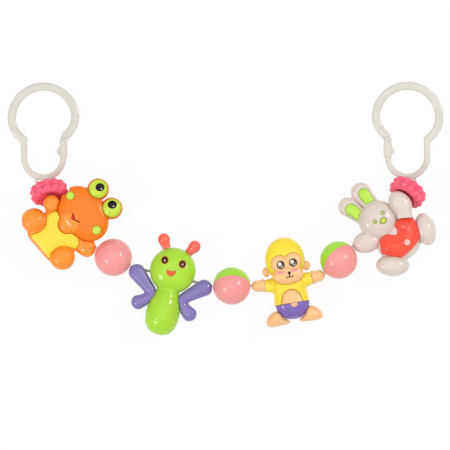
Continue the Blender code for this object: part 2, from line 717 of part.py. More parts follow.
def make_bee(body, matrix):
    size = BEE_SIZE
    whole = union([swollen(BEE_HEAD_SHARES, size, 1.0, BEE_RISE_SHARE), bee_barrel()], "bee")
    core_reach = max(half for _, half in BEE_BODY_SHARES) * size - CORE_INSET
    core = lump(bee_outline(), size, pillow(SEAM - core_reach, SEAM, SEAM + core_reach), -CORE_INSET)
    head_core = lump(BEE_HEAD_SHARES, size, pillow(WALL, SEAM, height(BEE_RISE_SHARE) - WALL), -WALL)
    cut(whole, [union([head_core, core], "hollow")])
    route = [wing_tip(-1), wing_tip(1)]
    pieces = []
    for side, word in ((-1, "left"), (1, "right")):
        shapes = [shape if side > 0 else mirrored(shape) for shape in BEE_WING_SHARES]
        wing = union([swollen(shape, size, WING_RISE_SHARE, WING_RISE_SHARE) for shape in shapes],
                     f"bee_wing_{word}")
        cut(wing, mask([bee_outline()], size, -OVERRUN))
        rim, level = body_half_width(BEE_PEG_SHARE) * size, BEE_PEG_SHARE * size
        pegged(wing, Vector((side * (rim + PEG_LENGTH), level, SEAM)),
               Vector((side * (rim - PEG_LENGTH), level, SEAM)), [whole])
        cut(wing, [bore(route)])
        stem = [Vector((side * u * size, v * size, SEAM)) for u, v in BEE_STEM_SHARES]
        cut(whole, [tube(stem, BEE_STEM_RADIUS + GAP)])
        u, v, radius = (share * size for share in BEE_KNOB_SHARE)
        knob = globe((side * u, v, SEAM), radius)
        antenna = union([knob, tube(stem, BEE_STEM_RADIUS)], f"bee_antenna_{word}")
        pieces += [(wing, "purple"), (antenna, "coral")]
    finish_figure(body, matrix, whole, "bee", "green", route, pieces)


# Frog

def make_frog(body, matrix, route, hand_height, scoop):
    size = FROG_SIZE
    reach = FROG_HAND_SHARES[3] * size
    lobes = [lump(FROG_HAND_SHARES, size, pillow(hand_height - reach, hand_height, hand_height + reach))]
    lobes += [swollen(shape, size, drop, rise) for shape, drop, rise in FROG_LIMB_SHARES.values()]
    floor = height(FROG_FLOOR_SHARE)
    for step, (shape, drop, _) in enumerate(FROG_HEAD_SHARES.values(), 1):
        levels = [(share, depth(fall * drop)) for share, fall in reversed(DOME_SHARES)]
        lobes.append(lump(shape, size, levels + [(1.0, floor + step * GAP)], -GAP))
    whole = union(lobes, "frog")
    scoop.data.transform(matrix.inverted())
    cut(whole, [scoop], keep=True)
    skull, torso = FROG_HEAD_SHARES["skull"][0], FROG_LIMB_SHARES["torso"][0]
    cut(whole, [hollowed([skull, torso], size, floor - WALL, [WALL + GAP, CORE_INSET])])
    head_shapes = [shape for shape, _, _ in FROG_HEAD_SHARES.values()]
    head = union([lump(shape, size, dome(floor + GAP, height(FROG_SHOULDER_SHARE), height(rise)))
                  for shape, _, rise in FROG_HEAD_SHARES.values()], "frog_head")
    ceiling = height(FROG_EYE_FLOOR_SHARE) - WALL
    cut(head, [lump(skull, size, dome(floor - OVERRUN, floor + GAP, ceiling), -CORE_INSET)])
    cut(head, [scoop, bore(route)])
    belly = seated(whole, FROG_BELLY_SHARES, size, "frog_belly_plate", FROG_BELLY_FLOOR_SHARE,
                   FROG_SHOULDER_SHARE, FROG_BELLY_CROWN_SHARE)
    head_mask = union(mask(head_shapes, size, floor), "head_mask")
    cut(belly, [head_mask], keep=True)
    cut(whole, [head_mask])
    pieces = [(head, "orange"), (belly, "yellow")]
    for word, shape in FROG_EYE_SHARES.items():
        pieces.append((seated(head, shape, size, f"frog_eye_{word}", FROG_EYE_FLOOR_SHARE,
                              FROG_CHEEK_FLOOR_SHARE, FROG_EYE_CROWN_SHARE), "lime"))
    for word, shape in FROG_CHEEK_SHARES.items():
        pieces.append((seated(head, shape, size, f"frog_cheek_{word}", FROG_CHEEK_FLOOR_SHARE,
                              FROG_CHEEK_SIDE_SHARE, FROG_CHEEK_CROWN_SHARE), "lime"))
    finish_figure(body, matrix, whole, "frog", "light_orange", route, pieces)


# Monkey

def make_monkey(body, matrix, route):
    size = MONKEY_SIZE
    whole = union([swollen(*row[:1], size, *row[1:]) for row in MONKEY_LOBE_SHARES.values()], "monkey")
    hood, torso = MONKEY_LOBE_SHARES["hood"][0], MONKEY_LOBE_SHARES["torso"][0]
    cut(whole, [hollowed([hood, torso], size, height(MONKEY_FLOOR_SHARE) - WALL, [WALL, CORE_INSET])])
    waist, wrist = MONKEY_WAIST_SHARE * size, MONKEY_WRIST_SHARE * size
    reach = size + OVERRUN
    cut(whole, [slab((-reach, -reach, -reach), (reach, waist + GAP / 2, reach))])
    hand_drop = MONKEY_LIMB_SHARES["hand"]
    pieces = []
    for side, word in ((-1, "left"), (1, "right")):
        shape = MONKEY_HAND_SHARES if side > 0 else mirrored(MONKEY_HAND_SHARES)
        hand = swollen(shape, size, *hand_drop, name=f"monkey_hand_{word}")
        near, far = side * (wrist - GAP / 2), side * (wrist + GAP / 2)
        cut(hand, [slab((min(-side * reach, far), -reach, -reach), (max(-side * reach, far), reach, reach))])
        cut(whole, [slab((min(near, side * reach), -reach, -reach), (max(near, side * reach), reach, reach))])
        level = MONKEY_CORD_SHARE * size
        inner = side * (wrist - PEG_LENGTH)
        spigot = [Vector((side * (wrist + PEG_LENGTH), level, SEAM)), Vector((inner, level, SEAM))]
        union([hand, tube(spigot, CORD_RADIUS + PEG_RADIUS + GAP, rounded=False)], hand.name)
        socket = [spigot[0], spigot[1] - Vector((side * GAP, 0, 0))]
        cut(whole, [tube(socket, CORD_RADIUS + PEG_RADIUS + 2 * GAP, rounded=False)])
        cut(hand, [bore(route)])
        ear_shape = MONKEY_EAR_SHARES if side > 0 else mirrored(MONKEY_EAR_SHARES)
        ear = swollen(ear_shape, size, *MONKEY_LIMB_SHARES["ear"], name=f"monkey_ear_{word}")
        cut(ear, mask([hood], size, -OVERRUN))
        rim = side * hood[3] * size
        ear_level = MONKEY_EAR_SHARES[2] * size
        pegged(ear, Vector((rim + side * EAR_PEG_LENGTH, ear_level, SEAM)),
               Vector((rim - side * PEG_LENGTH, ear_level, SEAM)), [whole])
        pieces += [(hand, "peach"), (ear, "peach")]
    face_shapes = [shape for shape, _ in MONKEY_FACE_SHARES.values()]
    floor = height(MONKEY_FLOOR_SHARE)
    face = union([lump(shape, size, dome(floor + GAP, height(MONKEY_SHOULDER_SHARE), height(rise)))
                  for shape, rise in MONKEY_FACE_SHARES.values()], "monkey_face_plate")
    belly = seated(whole, MONKEY_BELLY_SHARES, size, "monkey_belly_patch", MONKEY_FLOOR_SHARE,
                   MONKEY_SHOULDER_SHARE, MONKEY_BELLY_CROWN_SHARE)
    cut(belly, [slab((-reach, -reach, -reach), (reach, waist + GAP / 2, reach))])
    face_mask = union(mask(face_shapes, size, floor), "face_mask")
    cut(belly, [face_mask], keep=True)
    cut(whole, [face_mask])
    pieces += [(face, "peach"), (belly, "peach")] + monkey_legs(size, waist, reach)
    finish_figure(body, matrix, whole, "monkey", "yellow", route, pieces)


def monkey_legs(size, waist, reach):
    """Pants, plugged into the open end of the torso, and the feet pegged to them."""
    pants = swollen(MONKEY_PANTS_SHARES, size, *MONKEY_LIMB_SHARES["pants"], name="monkey_pants")
    cut(pants, [slab((-reach, waist - GAP / 2, -reach), (reach, reach, reach))])
    plug = lump(MONKEY_PLUG_SHARES, size, prism(SEAM - PEG_LENGTH / 2, SEAM + PEG_LENGTH / 2))
    union([pants, plug], "monkey_pants")
    pieces = []
    for side, word in ((-1, "left"), (1, "right")):
        shapes = [MONKEY_FOOT_SHARES, MONKEY_ANKLE_SHARES]
        shapes = shapes if side > 0 else [mirrored(shape) for shape in shapes]
        foot = union([swollen(shape, size, *MONKEY_LIMB_SHARES["foot"]) for shape in shapes],
                     f"monkey_foot_{word}")
        cut(foot, mask([MONKEY_PANTS_SHARES], size, -OVERRUN))
        ankle = Vector((shapes[1][1] * size, shapes[1][2] * size, SEAM))
        hip = Vector((MONKEY_PANTS_SHARES[1] * size, MONKEY_PANTS_SHARES[2] * size, SEAM))
        pegged(foot, ankle, ankle.lerp(hip, MONKEY_HIP_SHARE), [pants])
        pieces.append((foot, "peach"))
    return [(pants, "purple")] + pieces


# Rabbit

def make_rabbit(body, matrix, route, hand_height, scoop):
    size = RABBIT_SIZE
    reach = RABBIT_HAND_SHARES[3] * size
    shoulder_top = hand_height + RABBIT_SHOULDER_RISE_SHARE * reach
    lobes = [lump(RABBIT_HAND_SHARES, size, pillow(hand_height - reach, hand_height, hand_height + reach)),
             lump(RABBIT_SHOULDER_SHARES, size,
                  pillow(depth(RABBIT_SHOULDER_DROP_SHARE), hand_height, shoulder_top))]
    lobes += [swollen(shape, size, drop, rise) for shape, drop, rise in RABBIT_LOBE_SHARES.values()]
    whole = union(lobes, "rabbit")
    scoop.data.transform(matrix.inverted())
    cut(whole, [scoop])
    head, torso = RABBIT_LOBE_SHARES["head"][0], RABBIT_LOBE_SHARES["torso"][0]
    cut(whole, [hollowed([head, torso], size, height(RABBIT_HEART_FLOOR_SHARE) - WALL, [WALL, CORE_INSET])])
    pieces = [(seated(whole, RABBIT_HEART_SHARES, size, "rabbit_heart", RABBIT_HEART_FLOOR_SHARE,
                      RABBIT_HEART_SIDE_SHARE, RABBIT_HEART_CROWN_SHARE, FACET_SHARES), "coral"),
              (seated(whole, RABBIT_NOSE_SHARES, size, "rabbit_nose", RABBIT_NOSE_FLOOR_SHARE,
                      RABBIT_NOSE_SIDE_SHARE, RABBIT_NOSE_CROWN_SHARE), "lime")]
    for word, shape in RABBIT_EAR_PLATE_SHARES.items():
        pieces.append((seated(whole, shape, size, f"rabbit_ear_plate_{word}", RABBIT_EAR_FLOOR_SHARE,
                              RABBIT_EAR_SIDE_SHARE, RABBIT_EAR_CROWN_SHARE, behind=[head]), "lime"))
    finish_figure(body, matrix, whole, "rabbit", "grey", route, pieces)


# Balls

def half_ball(name, side):
    """Half shell on the cord's plane: rings from the inner pole out over the rim to the outer pole."""
    rings = []
    inner = BALL_RADIUS - WALL
    angles = [math.radians(POLE_ANGLE * step / BALL_STEPS) for step in range(BALL_STEPS + 1)]
    for radius, order in ((inner, reversed(angles)), (BALL_RADIUS, angles)):
        for angle in order:
            level = max(radius * math.sin(angle), GAP / 2)
            across_radius = radius * math.cos(angle)
            rings.append([(across_radius * math.cos(2 * math.pi * turn / BALL_SIDES),
                           across_radius * math.sin(2 * math.pi * turn / BALL_SIDES), side * level)
                          for turn in range(BALL_SIDES)])
    half = lofted(name, rings)
    reach = BALL_RADIUS + OVERRUN
    return cut(half, [tube([(-reach, 0, 0), (reach, 0, 0)], CORD_RADIUS + GAP, rounded=False)])


def make_ball(number, entry, heading, roll, parent):
    """Strand of cord, the ball that spins on it, and its pellets. Returns the pivot at its far end."""
    run = BALL_RADIUS + LINK_GAP / 2
    centre = entry + run * direction(heading)
    leave = centre + run * direction(heading)
    strand, ball = f"strand_ball_{number}", f"ball_{number}"
    pivot(strand, entry, parent)
    pivot(ball, centre, strand)
    carry(strand, cord(f"cord_ball_{number}", [entry, leave]), "cord")
    spin = Matrix.Rotation(math.radians(heading), 4, "Z") @ Matrix.Rotation(math.radians(roll), 4, "X")
    for colour, side in (("pink", 1), ("green", -1)):
        half = half_ball(f"ball_{number}_{colour}_half", side)
        carry(ball, half, "soft_pink" if colour == "pink" else "green", Matrix.Translation(centre) @ spin)
    floor_radius = BALL_RADIUS - WALL - GAP - PELLET_RADIUS
    spread = math.asin((PELLET_RADIUS + GAP) / floor_radius)
    for index in range(PELLETS):
        lean = spread * (2 * index - PELLETS + 1)
        side = math.sin(lean) * direction(heading + 90)
        place = centre + floor_radius * (side - math.cos(lean) * Vector((0, 0, 1)))
        pellet = globe(place, PELLET_RADIUS, PELLET_SIDES, PELLET_STEPS, f"ball_{number}_pellet_{index + 1}")
        carry(ball, pellet, "off_white")
    return strand, leave


# Knobbly discs

def lobed_ring(share, height):
    ring = []
    count = DISC_LOBES * LOBE_FACETS
    for step in range(count):
        turn = 2 * math.pi * step / count
        crest = abs(math.cos(DISC_LOBES * turn / 2)) ** LOBE_POWER
        radius = (DISC_RADIUS - DISC_LOBE_DEPTH * (1 - crest)) * share
        ring.append((radius * math.cos(turn), radius * math.sin(turn), height))
    return ring


def make_disc(side, centre, axis, parent):
    name = f"disc_{side}"
    pivot(name, centre, parent)
    disc = lofted(f"knobbly_disc_{side}",
                  [lobed_ring(share, level * DISC_THICKNESS) for share, level in DISC_EDGE_SHARES])
    cut(disc, [bowl(), tube([(0, 0, -DISC_THICKNESS), (0, 0, DISC_THICKNESS)], CORD_RADIUS + GAP,
                          rounded=False, upright=Vector((0, 1, 0)))])
    place = Matrix.Translation(centre) @ axis.to_track_quat("Z", "Y").to_matrix().to_4x4()
    carry(name, disc, "pink", place)


def bowl(inset=0.0):
    """Lens that hollows the disc's near face, or with an inset the room left inside it."""
    face = DISC_THICKNESS / 2
    radius = (DISH_RADIUS ** 2 + DISH_DEPTH ** 2) / (2 * DISH_DEPTH)
    rings = []
    for share in BOWL_SHARES:
        angle = math.asin(DISH_RADIUS / radius) * share
        reach = radius * math.sin(angle) - inset * share
        height = face - DISH_DEPTH + radius * (1 - math.cos(angle)) + inset
        turns = [2 * math.pi * step / BOWL_SIDES for step in range(BOWL_SIDES)]
        rings.append([(reach * math.cos(turn), reach * math.sin(turn), height) for turn in turns])
    rings.append([(point[0], point[1], face + OVERRUN) for point in rings[-1]])
    return lofted("bowl", rings)


# Cord

def cord(name, route, joined=False):
    """Stretch of cord whose rounded ends stop half a gap short of the pivots that it runs between."""
    path = [Vector(point) for point in route]
    path[0] = path[0] + (path[1] - path[0]).normalized() * GAP / 2
    if not joined:
        path[-1] = path[-1] - (path[-1] - path[-2]).normalized() * GAP / 2
    return tube(path, CORD_RADIUS, name=name)


def make_cord_end(side, start, centre, axis, bar):
    """Cord through the disc, down to its loop round the clip's bar, with the knot that closes the loop."""
    name = f"cord_end_{side}"
    far_face = centre - axis * (DISC_THICKNESS / 2)
    loop_radius = loop_reach()
    knot = Vector((bar.x, bar.y, bar.z + loop_radius + CORD_RADIUS))
    turn_down = far_face - axis * STEM_RUN
    stem = cord(name, [start, centre, far_face, turn_down, knot], joined=True)
    rings = []
    for step in range(LOOP_STEPS):
        angle = 2 * math.pi * step / LOOP_STEPS
        outward = Vector((0, math.cos(angle), math.sin(angle)))
        along = Vector((0, -math.sin(angle), math.cos(angle)))
        rings.append(across(bar + loop_radius * outward, along, CORD_RADIUS, CORD_SIDES, Vector((1, 0, 0))))
    ring = lofted("loop", rings, capped=False)
    return union([stem, ring, globe(knot, KNOT_RADIUS)], name)


def loop_reach():
    return bar_height() - CORD_RADIUS - GAP


def bar_height():
    return CLIP_THICKNESS - BAR_INSET - BAR_RADIUS


# Clips, drawn with the gate on the right and mirrored for the other end

def leg_centre():
    """Height of the middle of the clip's round bottom, below the ring's centre."""
    half = LEG_SPAN / 2
    return -(math.sqrt(RING_RADIUS ** 2 - half ** 2) + LEG_LENGTH)


def pin_place():
    return Vector((LEG_SPAN / 2 + PIN_OFFSET, -PIN_DROP))


def bar_level():
    return leg_centre() - LEG_SPAN / 2 - LEG_BAND / 2 - EYELET_REACH


def arm_top():
    """Where the lower arm stops, clear of the gate's swinging end."""
    return pin_place().y - math.hypot(GATE_LENGTH, GATE_WIDTH / 2) - GAP


def clip_path():
    """Points and bands along the frame, from the lower arm round to the gate's pin."""
    half = LEG_SPAN / 2
    base = leg_centre()
    start = math.asin((base - arm_top()) / half)
    path = []
    for step in range(BEND_STEPS + 1):
        angle = -start - (math.pi - start) * step / BEND_STEPS
        path.append((half * math.cos(angle), base + half * math.sin(angle), LEG_BAND))
    path.append((-half, base + LEG_LENGTH * NECK_SHARE, LEG_BAND))
    sweep = 360 - RING_FIRST_ANGLE - RING_LAST_ANGLE
    for step in range(RING_STEPS + 1):
        angle = math.radians(RING_FIRST_ANGLE + sweep * step / RING_STEPS)
        path.append((-RING_RADIUS * math.sin(angle), -RING_RADIUS * math.cos(angle), RING_BAND))
    end = math.radians(RING_END_ANGLE)
    reach = RING_END_SHARE * RING_RADIUS
    path.append((reach * math.sin(end), -reach * math.cos(end), LEG_BAND))
    return path


def clip_section(path, index):
    x, y, band = path[index]
    after, before = path[min(index + 1, len(path) - 1)], path[max(index - 1, 0)]
    along = Vector((after[0] - before[0], after[1] - before[1])).normalized()
    return [(x + along.y * share * band, y - along.x * share * band, rise * CLIP_THICKNESS)
            for share, rise in SECTION_SHARES]


def make_clip(side, bar_world, shift, parent):
    mirror = Matrix.Scale(-1, 4, (1, 0, 0)) if side == "right" else Matrix()
    bar_local = Vector((shift, bar_level(), 0))
    place = Matrix.Translation(Vector((bar_world.x, bar_world.y, 0)) - bar_local) @ mirror
    body, gate_body = f"clip_{side}", f"gate_{side}"
    pin = pin_place()
    pivot(body, bar_world, parent)
    middle = CLIP_THICKNESS / 2
    pin_world = place @ Vector((pin.x, pin.y, middle))
    pivot(gate_body, pin_world, body)
    for obj, owner in ((clip_frame(side, pin), body), (clip_gate(side, pin), gate_body),
                       (clip_pin(side, pin), body)):
        carry(owner, obj, "off_white", place)
        if side == "right":
            obj.data.flip_normals()


def round_bar(pin, radius, low, high, name="bar"):
    return lump(("oval", pin.x, pin.y, radius, radius, 0), 1.0, prism(low, high), name=name, facet=FINE_FACET)


def clip_frame(side, pin):
    path = clip_path()
    frame = lofted(f"clip_{side}_frame", [clip_section(path, index) for index in range(len(path))])
    middle = CLIP_THICKNESS / 2
    knuckle = GATE_WIDTH / 2 + GAP
    top, bottom = CLIP_THICKNESS + OVERRUN, pin.y - KNUCKLE_DROP
    cut(frame, [round_bar(pin, knuckle, -OVERRUN, top),
                slab((pin.x - knuckle, bottom, -OVERRUN), (pin.x + knuckle, pin.y, top))])
    low, high = middle - TONGUE_THICKNESS / 2, middle + TONGUE_THICKNESS / 2
    end = Vector(path[-3][:2])
    hinge_tongue = lump(("taper", pin.x, pin.y, HINGE_RADIUS, end.x, end.y, TONGUE_WIDTH / 2), 1.0,
                        prism(low, high), facet=FINE_FACET)
    latch_top = pin.y - GATE_LENGTH + TONGUE_LENGTH
    inner = pin.x - GATE_WIDTH / 2 + GATE_WEB + GAP
    latch = slab((inner, arm_top() - GATE_WEB, low), (inner + TONGUE_WIDTH, latch_top, high))
    union([frame, hinge_tongue, latch, eyelet()], f"clip_{side}_frame")
    return cut(frame, [round_bar(pin, PIN_RADIUS + PIN_CLEARANCE, -OVERRUN, CLIP_THICKNESS + OVERRUN)])


def eyelet():
    half = EYELET_SPAN / 2
    level, bend, corner = bar_level(), BAR_BEND, BAR_BEND * BAR_CORNER_SHARE
    root = leg_centre() - math.sqrt((LEG_SPAN / 2) ** 2 - half ** 2)
    side = [(half, root), (half, level + bend), (half - corner, level + corner), (half - bend, level)]
    path = [(-x, y) for x, y in side] + [(x, y) for x, y in reversed(side)]
    return tube([(x, y, bar_height()) for x, y in path], BAR_RADIUS, rounded=False)


def clip_gate(side, pin):
    half = GATE_WIDTH / 2
    end = pin.y - GATE_LENGTH
    middle = CLIP_THICKNESS / 2
    levels = [(share, rise * CLIP_THICKNESS) for share, rise in GATE_EDGE_SHARES]
    gate = lump(("taper", pin.x, pin.y, half, pin.x, end, half), 1.0, levels, facet=FINE_FACET)
    tab = lump(("oval", pin.x - half, end + GATE_LENGTH * TAB_SHARE, TAB_REACH, TAB_LENGTH / 2, 0), 1.0,
               prism(middle - TAB_THICKNESS / 2, middle + TAB_THICKNESS / 2), facet=FINE_FACET)
    union([gate, tab], f"clip_{side}_gate")
    low, high = middle - SLOT_THICKNESS / 2, middle + SLOT_THICKNESS / 2
    latch_slot = slab((pin.x - half + GATE_WEB, end - OVERRUN, low),
                      (pin.x + half + OVERRUN, end + TONGUE_LENGTH + SLOT_SLACK, high))
    top = CLIP_THICKNESS + OVERRUN
    return cut(gate, [slab((pin.x - OVERRUN, end - OVERRUN, -OVERRUN), (pin.x + OVERRUN, end, top)),
                      round_bar(pin, half + SLOT_SLACK, low, high), latch_slot,
                      round_bar(pin, PIN_RADIUS + PIN_CLEARANCE, -OVERRUN, top)])


def clip_pin(side, pin):
    return round_bar(pin, PIN_RADIUS, PIN_CLEARANCE, CLIP_THICKNESS - PIN_CLEARANCE, f"clip_{side}_gate_pin")


# Whole toy

def left_side(bee_matrix):
    strand, leave = make_ball(1, bee_matrix @ wing_tip(-1), BALL_1_HEADING, BALL_1_ROLL, "bee")
    entry = anchor(FROG_LIMB_SHARES["hand_right"][0], FROG_SIZE, FROG_ENTRY_ANGLE)
    matrix = placed(FROG_TURN, entry, leave)
    hand = Vector((FROG_HAND_SHARES[1], FROG_HAND_SHARES[2], 0)) * FROG_SIZE
    radius = FROG_HAND_SHARES[3] * FROG_SIZE
    pivot("frog", leave, strand)
    spot, hand_height = hand_point(matrix @ hand, radius, LEFT_DISC_HEADING, LEFT_DISC_LEAN)
    make_frog("frog", matrix, hand_route(entry, hand, hand_height, matrix.inverted() @ spot), hand_height,
              disc_scoop(spot, LEFT_DISC_HEADING, LEFT_DISC_LEAN))
    make_end("left", spot, LEFT_DISC_HEADING, LEFT_DISC_LEAN, LEFT_BAR_HEADING,
             LEFT_BAR_REACH, LEFT_BAR_SHIFT, "frog")


def hand_route(entry, hand, hand_height, leave):
    """Cord's route through a figure whose raised hand is higher than its seam."""
    middle = (entry + Vector((hand.x, hand.y, SEAM))) / 2
    palm = Vector((hand.x, hand.y, hand_height))
    return smooth_route([entry, middle, palm, leave])


def right_side(bee_matrix):
    strand, leave = make_ball(2, bee_matrix @ wing_tip(1), BALL_2_HEADING, BALL_2_ROLL, "bee")
    entry = anchor(mirrored(MONKEY_HAND_SHARES), MONKEY_SIZE, 180 - MONKEY_CORD_ANGLE)
    away = anchor(MONKEY_HAND_SHARES, MONKEY_SIZE, MONKEY_CORD_ANGLE)
    matrix = placed(MONKEY_TURN, entry, leave)
    pivot("monkey", leave, strand)
    make_monkey("monkey", matrix, [entry, away])
    strand, leave = make_ball(3, matrix @ away, BALL_3_HEADING, BALL_3_ROLL, "monkey")
    entry = anchor(RABBIT_LOBE_SHARES["arm_left"][0], RABBIT_SIZE, RABBIT_ENTRY_ANGLE)
    matrix = placed(RABBIT_TURN, entry, leave)
    hand = Vector((RABBIT_HAND_SHARES[1], RABBIT_HAND_SHARES[2], 0)) * RABBIT_SIZE
    radius = RABBIT_HAND_SHARES[3] * RABBIT_SIZE
    pivot("rabbit", leave, strand)
    spot, hand_height = hand_point(matrix @ hand, radius, RIGHT_DISC_HEADING, RIGHT_DISC_LEAN)
    make_rabbit("rabbit", matrix, hand_route(entry, hand, hand_height, matrix.inverted() @ spot), hand_height,
                disc_scoop(spot, RIGHT_DISC_HEADING, RIGHT_DISC_LEAN))
    make_end("right", spot, RIGHT_DISC_HEADING, RIGHT_DISC_LEAN, RIGHT_BAR_HEADING,
             RIGHT_BAR_REACH, RIGHT_BAR_SHIFT, "rabbit")


def make_end(side, start, heading, lean, bar_heading, bar_reach, bar_shift, parent):
    """End of the cord with its disc and clip. The disc's axis points up at the figure's hand."""
    centre, axis = disc_spot(start, heading, lean)
    bar = Vector((centre.x, centre.y, bar_height())) + bar_reach * direction(bar_heading)
    name = f"cord_tail_{side}"
    pivot(name, start, parent)
    carry(name, make_cord_end(side, start, centre, axis, bar), "cord")
    make_disc(side, centre, axis, name)
    make_clip(side, bar, bar_shift, name)


def main():
    clear_scene()
    bee_matrix = Matrix.Translation((*BEE_PLACE, 0)) @ Matrix.Rotation(math.radians(BEE_TURN), 4, "Z")
    pivot("bee", (*BEE_PLACE, SEAM))
    make_bee("bee", bee_matrix)
    left_side(bee_matrix)
    right_side(bee_matrix)


main()
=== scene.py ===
"""Looks of the pram chain toy. Moulded pieces are built as smooth fields and meshed where a field is zero.

Each figure is drawn upright in its own millimetre frame, u to its right, v to its head and z up from the
table, and is then turned and moved to its place on the cord. Sizes that part.py gives as shares of a
figure's height are given the same way here."""

import json
import math

import bpy
import numpy as np
from mathutils import Matrix, Vector

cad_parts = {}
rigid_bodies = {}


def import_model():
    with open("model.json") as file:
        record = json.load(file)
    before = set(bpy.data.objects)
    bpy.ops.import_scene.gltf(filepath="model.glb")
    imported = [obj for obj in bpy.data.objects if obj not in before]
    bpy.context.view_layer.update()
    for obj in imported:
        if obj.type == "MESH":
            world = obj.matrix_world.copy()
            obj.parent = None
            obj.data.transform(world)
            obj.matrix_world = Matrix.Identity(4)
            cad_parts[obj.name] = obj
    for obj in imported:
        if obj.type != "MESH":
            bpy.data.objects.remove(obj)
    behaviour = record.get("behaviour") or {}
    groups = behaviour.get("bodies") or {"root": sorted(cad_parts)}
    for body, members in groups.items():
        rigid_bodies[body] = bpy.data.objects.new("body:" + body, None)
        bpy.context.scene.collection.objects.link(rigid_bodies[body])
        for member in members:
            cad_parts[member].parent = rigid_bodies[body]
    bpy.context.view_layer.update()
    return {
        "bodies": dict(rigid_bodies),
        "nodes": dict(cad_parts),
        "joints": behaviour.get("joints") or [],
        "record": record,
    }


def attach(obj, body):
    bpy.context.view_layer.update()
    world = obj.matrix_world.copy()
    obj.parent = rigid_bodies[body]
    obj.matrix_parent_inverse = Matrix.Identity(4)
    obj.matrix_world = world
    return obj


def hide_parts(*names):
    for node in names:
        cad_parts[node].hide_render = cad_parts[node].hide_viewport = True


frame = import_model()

# Lengths are in millimetres, and MM turns them into metres. SEAM is the height at which the figures' halves
# meet, RISE the most that they stand above it, GAP the room between pieces, FIT the room round a seated
# piece and PARTING half the line between two halves

MM, TINY = 0.001, 1e-6
SEAM, RISE = 15.0, 14.0
GAP, FIT, PARTING = 0.3, 0.08, 0.04
CORD_RADIUS, CORD_BORE, CORD_INSET = 1.0, 1.3, 1.15
PRINT_STEP, PRINT_DEPTH, PRINT_HEIGHTS = 0.2, 0.35, (15, 33)


# Shapes on the table: each gives, for points u and v, how far out a point is as a share of the
# outline there, and its distance from the line that the outline is drawn round

def oval(u, v, ru, rv, turn=0.0):
    c, s = math.cos(math.radians(turn)), math.sin(math.radians(turn))

    def rim(x, y):
        along, over = (x - u) * c + (y - v) * s, (y - v) * c - (x - u) * s
        return np.hypot(along / ru, over / rv), np.hypot(along, over)
    return rim


def taper(u, v, radius, u2, v2, radius2):
    length = math.hypot(u2 - u, v2 - v)
    c, s = (u2 - u) / length, (v2 - v) / length
    slope = (radius - radius2) / length
    lean = slope / math.sqrt(1 - slope * slope)

    def rim(x, y):
        along, over = (x - u) * c + (y - v) * s, np.abs((y - v) * c - (x - u) * s)
        place = np.clip((along + over * lean) / length, 0, 1)
        away = np.hypot(along - place * length, over)
        return away / (radius + (radius2 - radius) * place), away
    return rim


def spline(a, b, c, d, steps):
    """Points on a smooth curve from b to just before c, with a and d as their neighbours."""
    return [0.5 * (2 * b + (c - a) * t + (2 * a - 5 * b + 4 * c - d) * t ** 2
                   + (3 * b - a - 3 * c + d) * t ** 3) for t in np.arange(steps) / steps]


def smooth_loop(points, steps=8):
    """Closed curve through the points."""
    ring, out = np.array(points, float), []
    for i in range(len(ring)):
        out += spline(ring[i - 1], ring[i], ring[(i + 1) % len(ring)], ring[(i + 2) % len(ring)], steps)
    return np.array(out)


def open_curve(points, steps=6):
    """Curve through the points, from the first to the last."""
    path, out = np.array(points, float), []
    full = np.vstack([2 * path[0] - path[1], path, 2 * path[-1] - path[-2]])
    for i in range(1, len(full) - 2):
        out += spline(*full[i - 1:i + 3], steps)
    return np.array(out + [path[-1]])


def distance_to(points, x, y, closed=True):
    """Distance from each x, y to the line through the points, below zero inside a closed one."""
    away = np.full(np.broadcast(x, y).shape, 1e9)
    inside = np.zeros(away.shape, bool)
    ends = np.roll(points, -1, axis=0)
    if not closed:
        points, ends = points[:-1], ends[:-1]
    for (ax, ay), (bx, by) in zip(points, ends):
        ex, ey = bx - ax, by - ay
        t = np.clip(((x - ax) * ex + (y - ay) * ey) / (ex * ex + ey * ey + TINY), 0, 1)
        away = np.minimum(away, np.hypot(x - ax - t * ex, y - ay - t * ey))
        if closed:
            crosses = (ay > y) != (by > y)
            inside ^= crosses & (x < ax + (y - ay) * ex / (ey if ey else 1))
    return np.where(inside, -away, away) if closed else away


def loop(points, edge, steps=8):
    """Free outline whose top rounds off over this distance from its edge."""
    ring = smooth_loop(points, steps)

    def rim(x, y):
        share = np.maximum(1 + distance_to(ring, x, y) / edge, 0.0)
        return share, share * edge
    return rim


# Flat shapes: each gives a distance for points u and v, below zero inside

def flat(rim):
    """An outline as a distance on the table."""
    def shape(x, y):
        share, away = rim(x, y)
        return (share - 1) * away / np.maximum(share, TINY)
    return shape


def dot(u, v, ru, rv, turn=0.0):
    return flat(oval(u, v, ru, rv, turn))


def stroke(points, width):
    """Drawn line of this width, straight between two points and curved through more."""
    line = open_curve(points) if len(points) > 2 else np.array(points, float)
    return lambda x, y: distance_to(line, x, y, closed=False) - width / 2


def hoop(u, v, radius, width):
    return lambda x, y: np.abs(np.hypot(x - u, y - v) - radius) - width / 2


def join_flat(shapes):
    return lambda x, y: np.minimum.reduce([shape(x, y) for shape in shapes])


def table_of(outline, low, high, step=0.25):
    """Signed distances to an outline, tabled for quick reading."""
    u = np.arange(low[0], high[0], step)
    v = np.arange(low[1], high[1], step)
    x, y = np.meshgrid(u, v, indexing="ij")
    return low, step, distance_to(outline, x, y)


def soft_table(table, x, y):
    """Read a table of distances between its points."""
    low, step, values = table
    i = np.clip((x - low[0]) / step, 0, values.shape[0] - 1.001)
    j = np.clip((y - low[1]) / step, 0, values.shape[1] - 1.001)
    a, b = np.floor(i).astype(int), np.floor(j).astype(int)
    s, t = i - a, j - b
    return ((values[a, b] * (1 - s) + values[a + 1, b] * s) * (1 - t)
            + (values[a, b + 1] * (1 - s) + values[a + 1, b + 1] * s) * t)


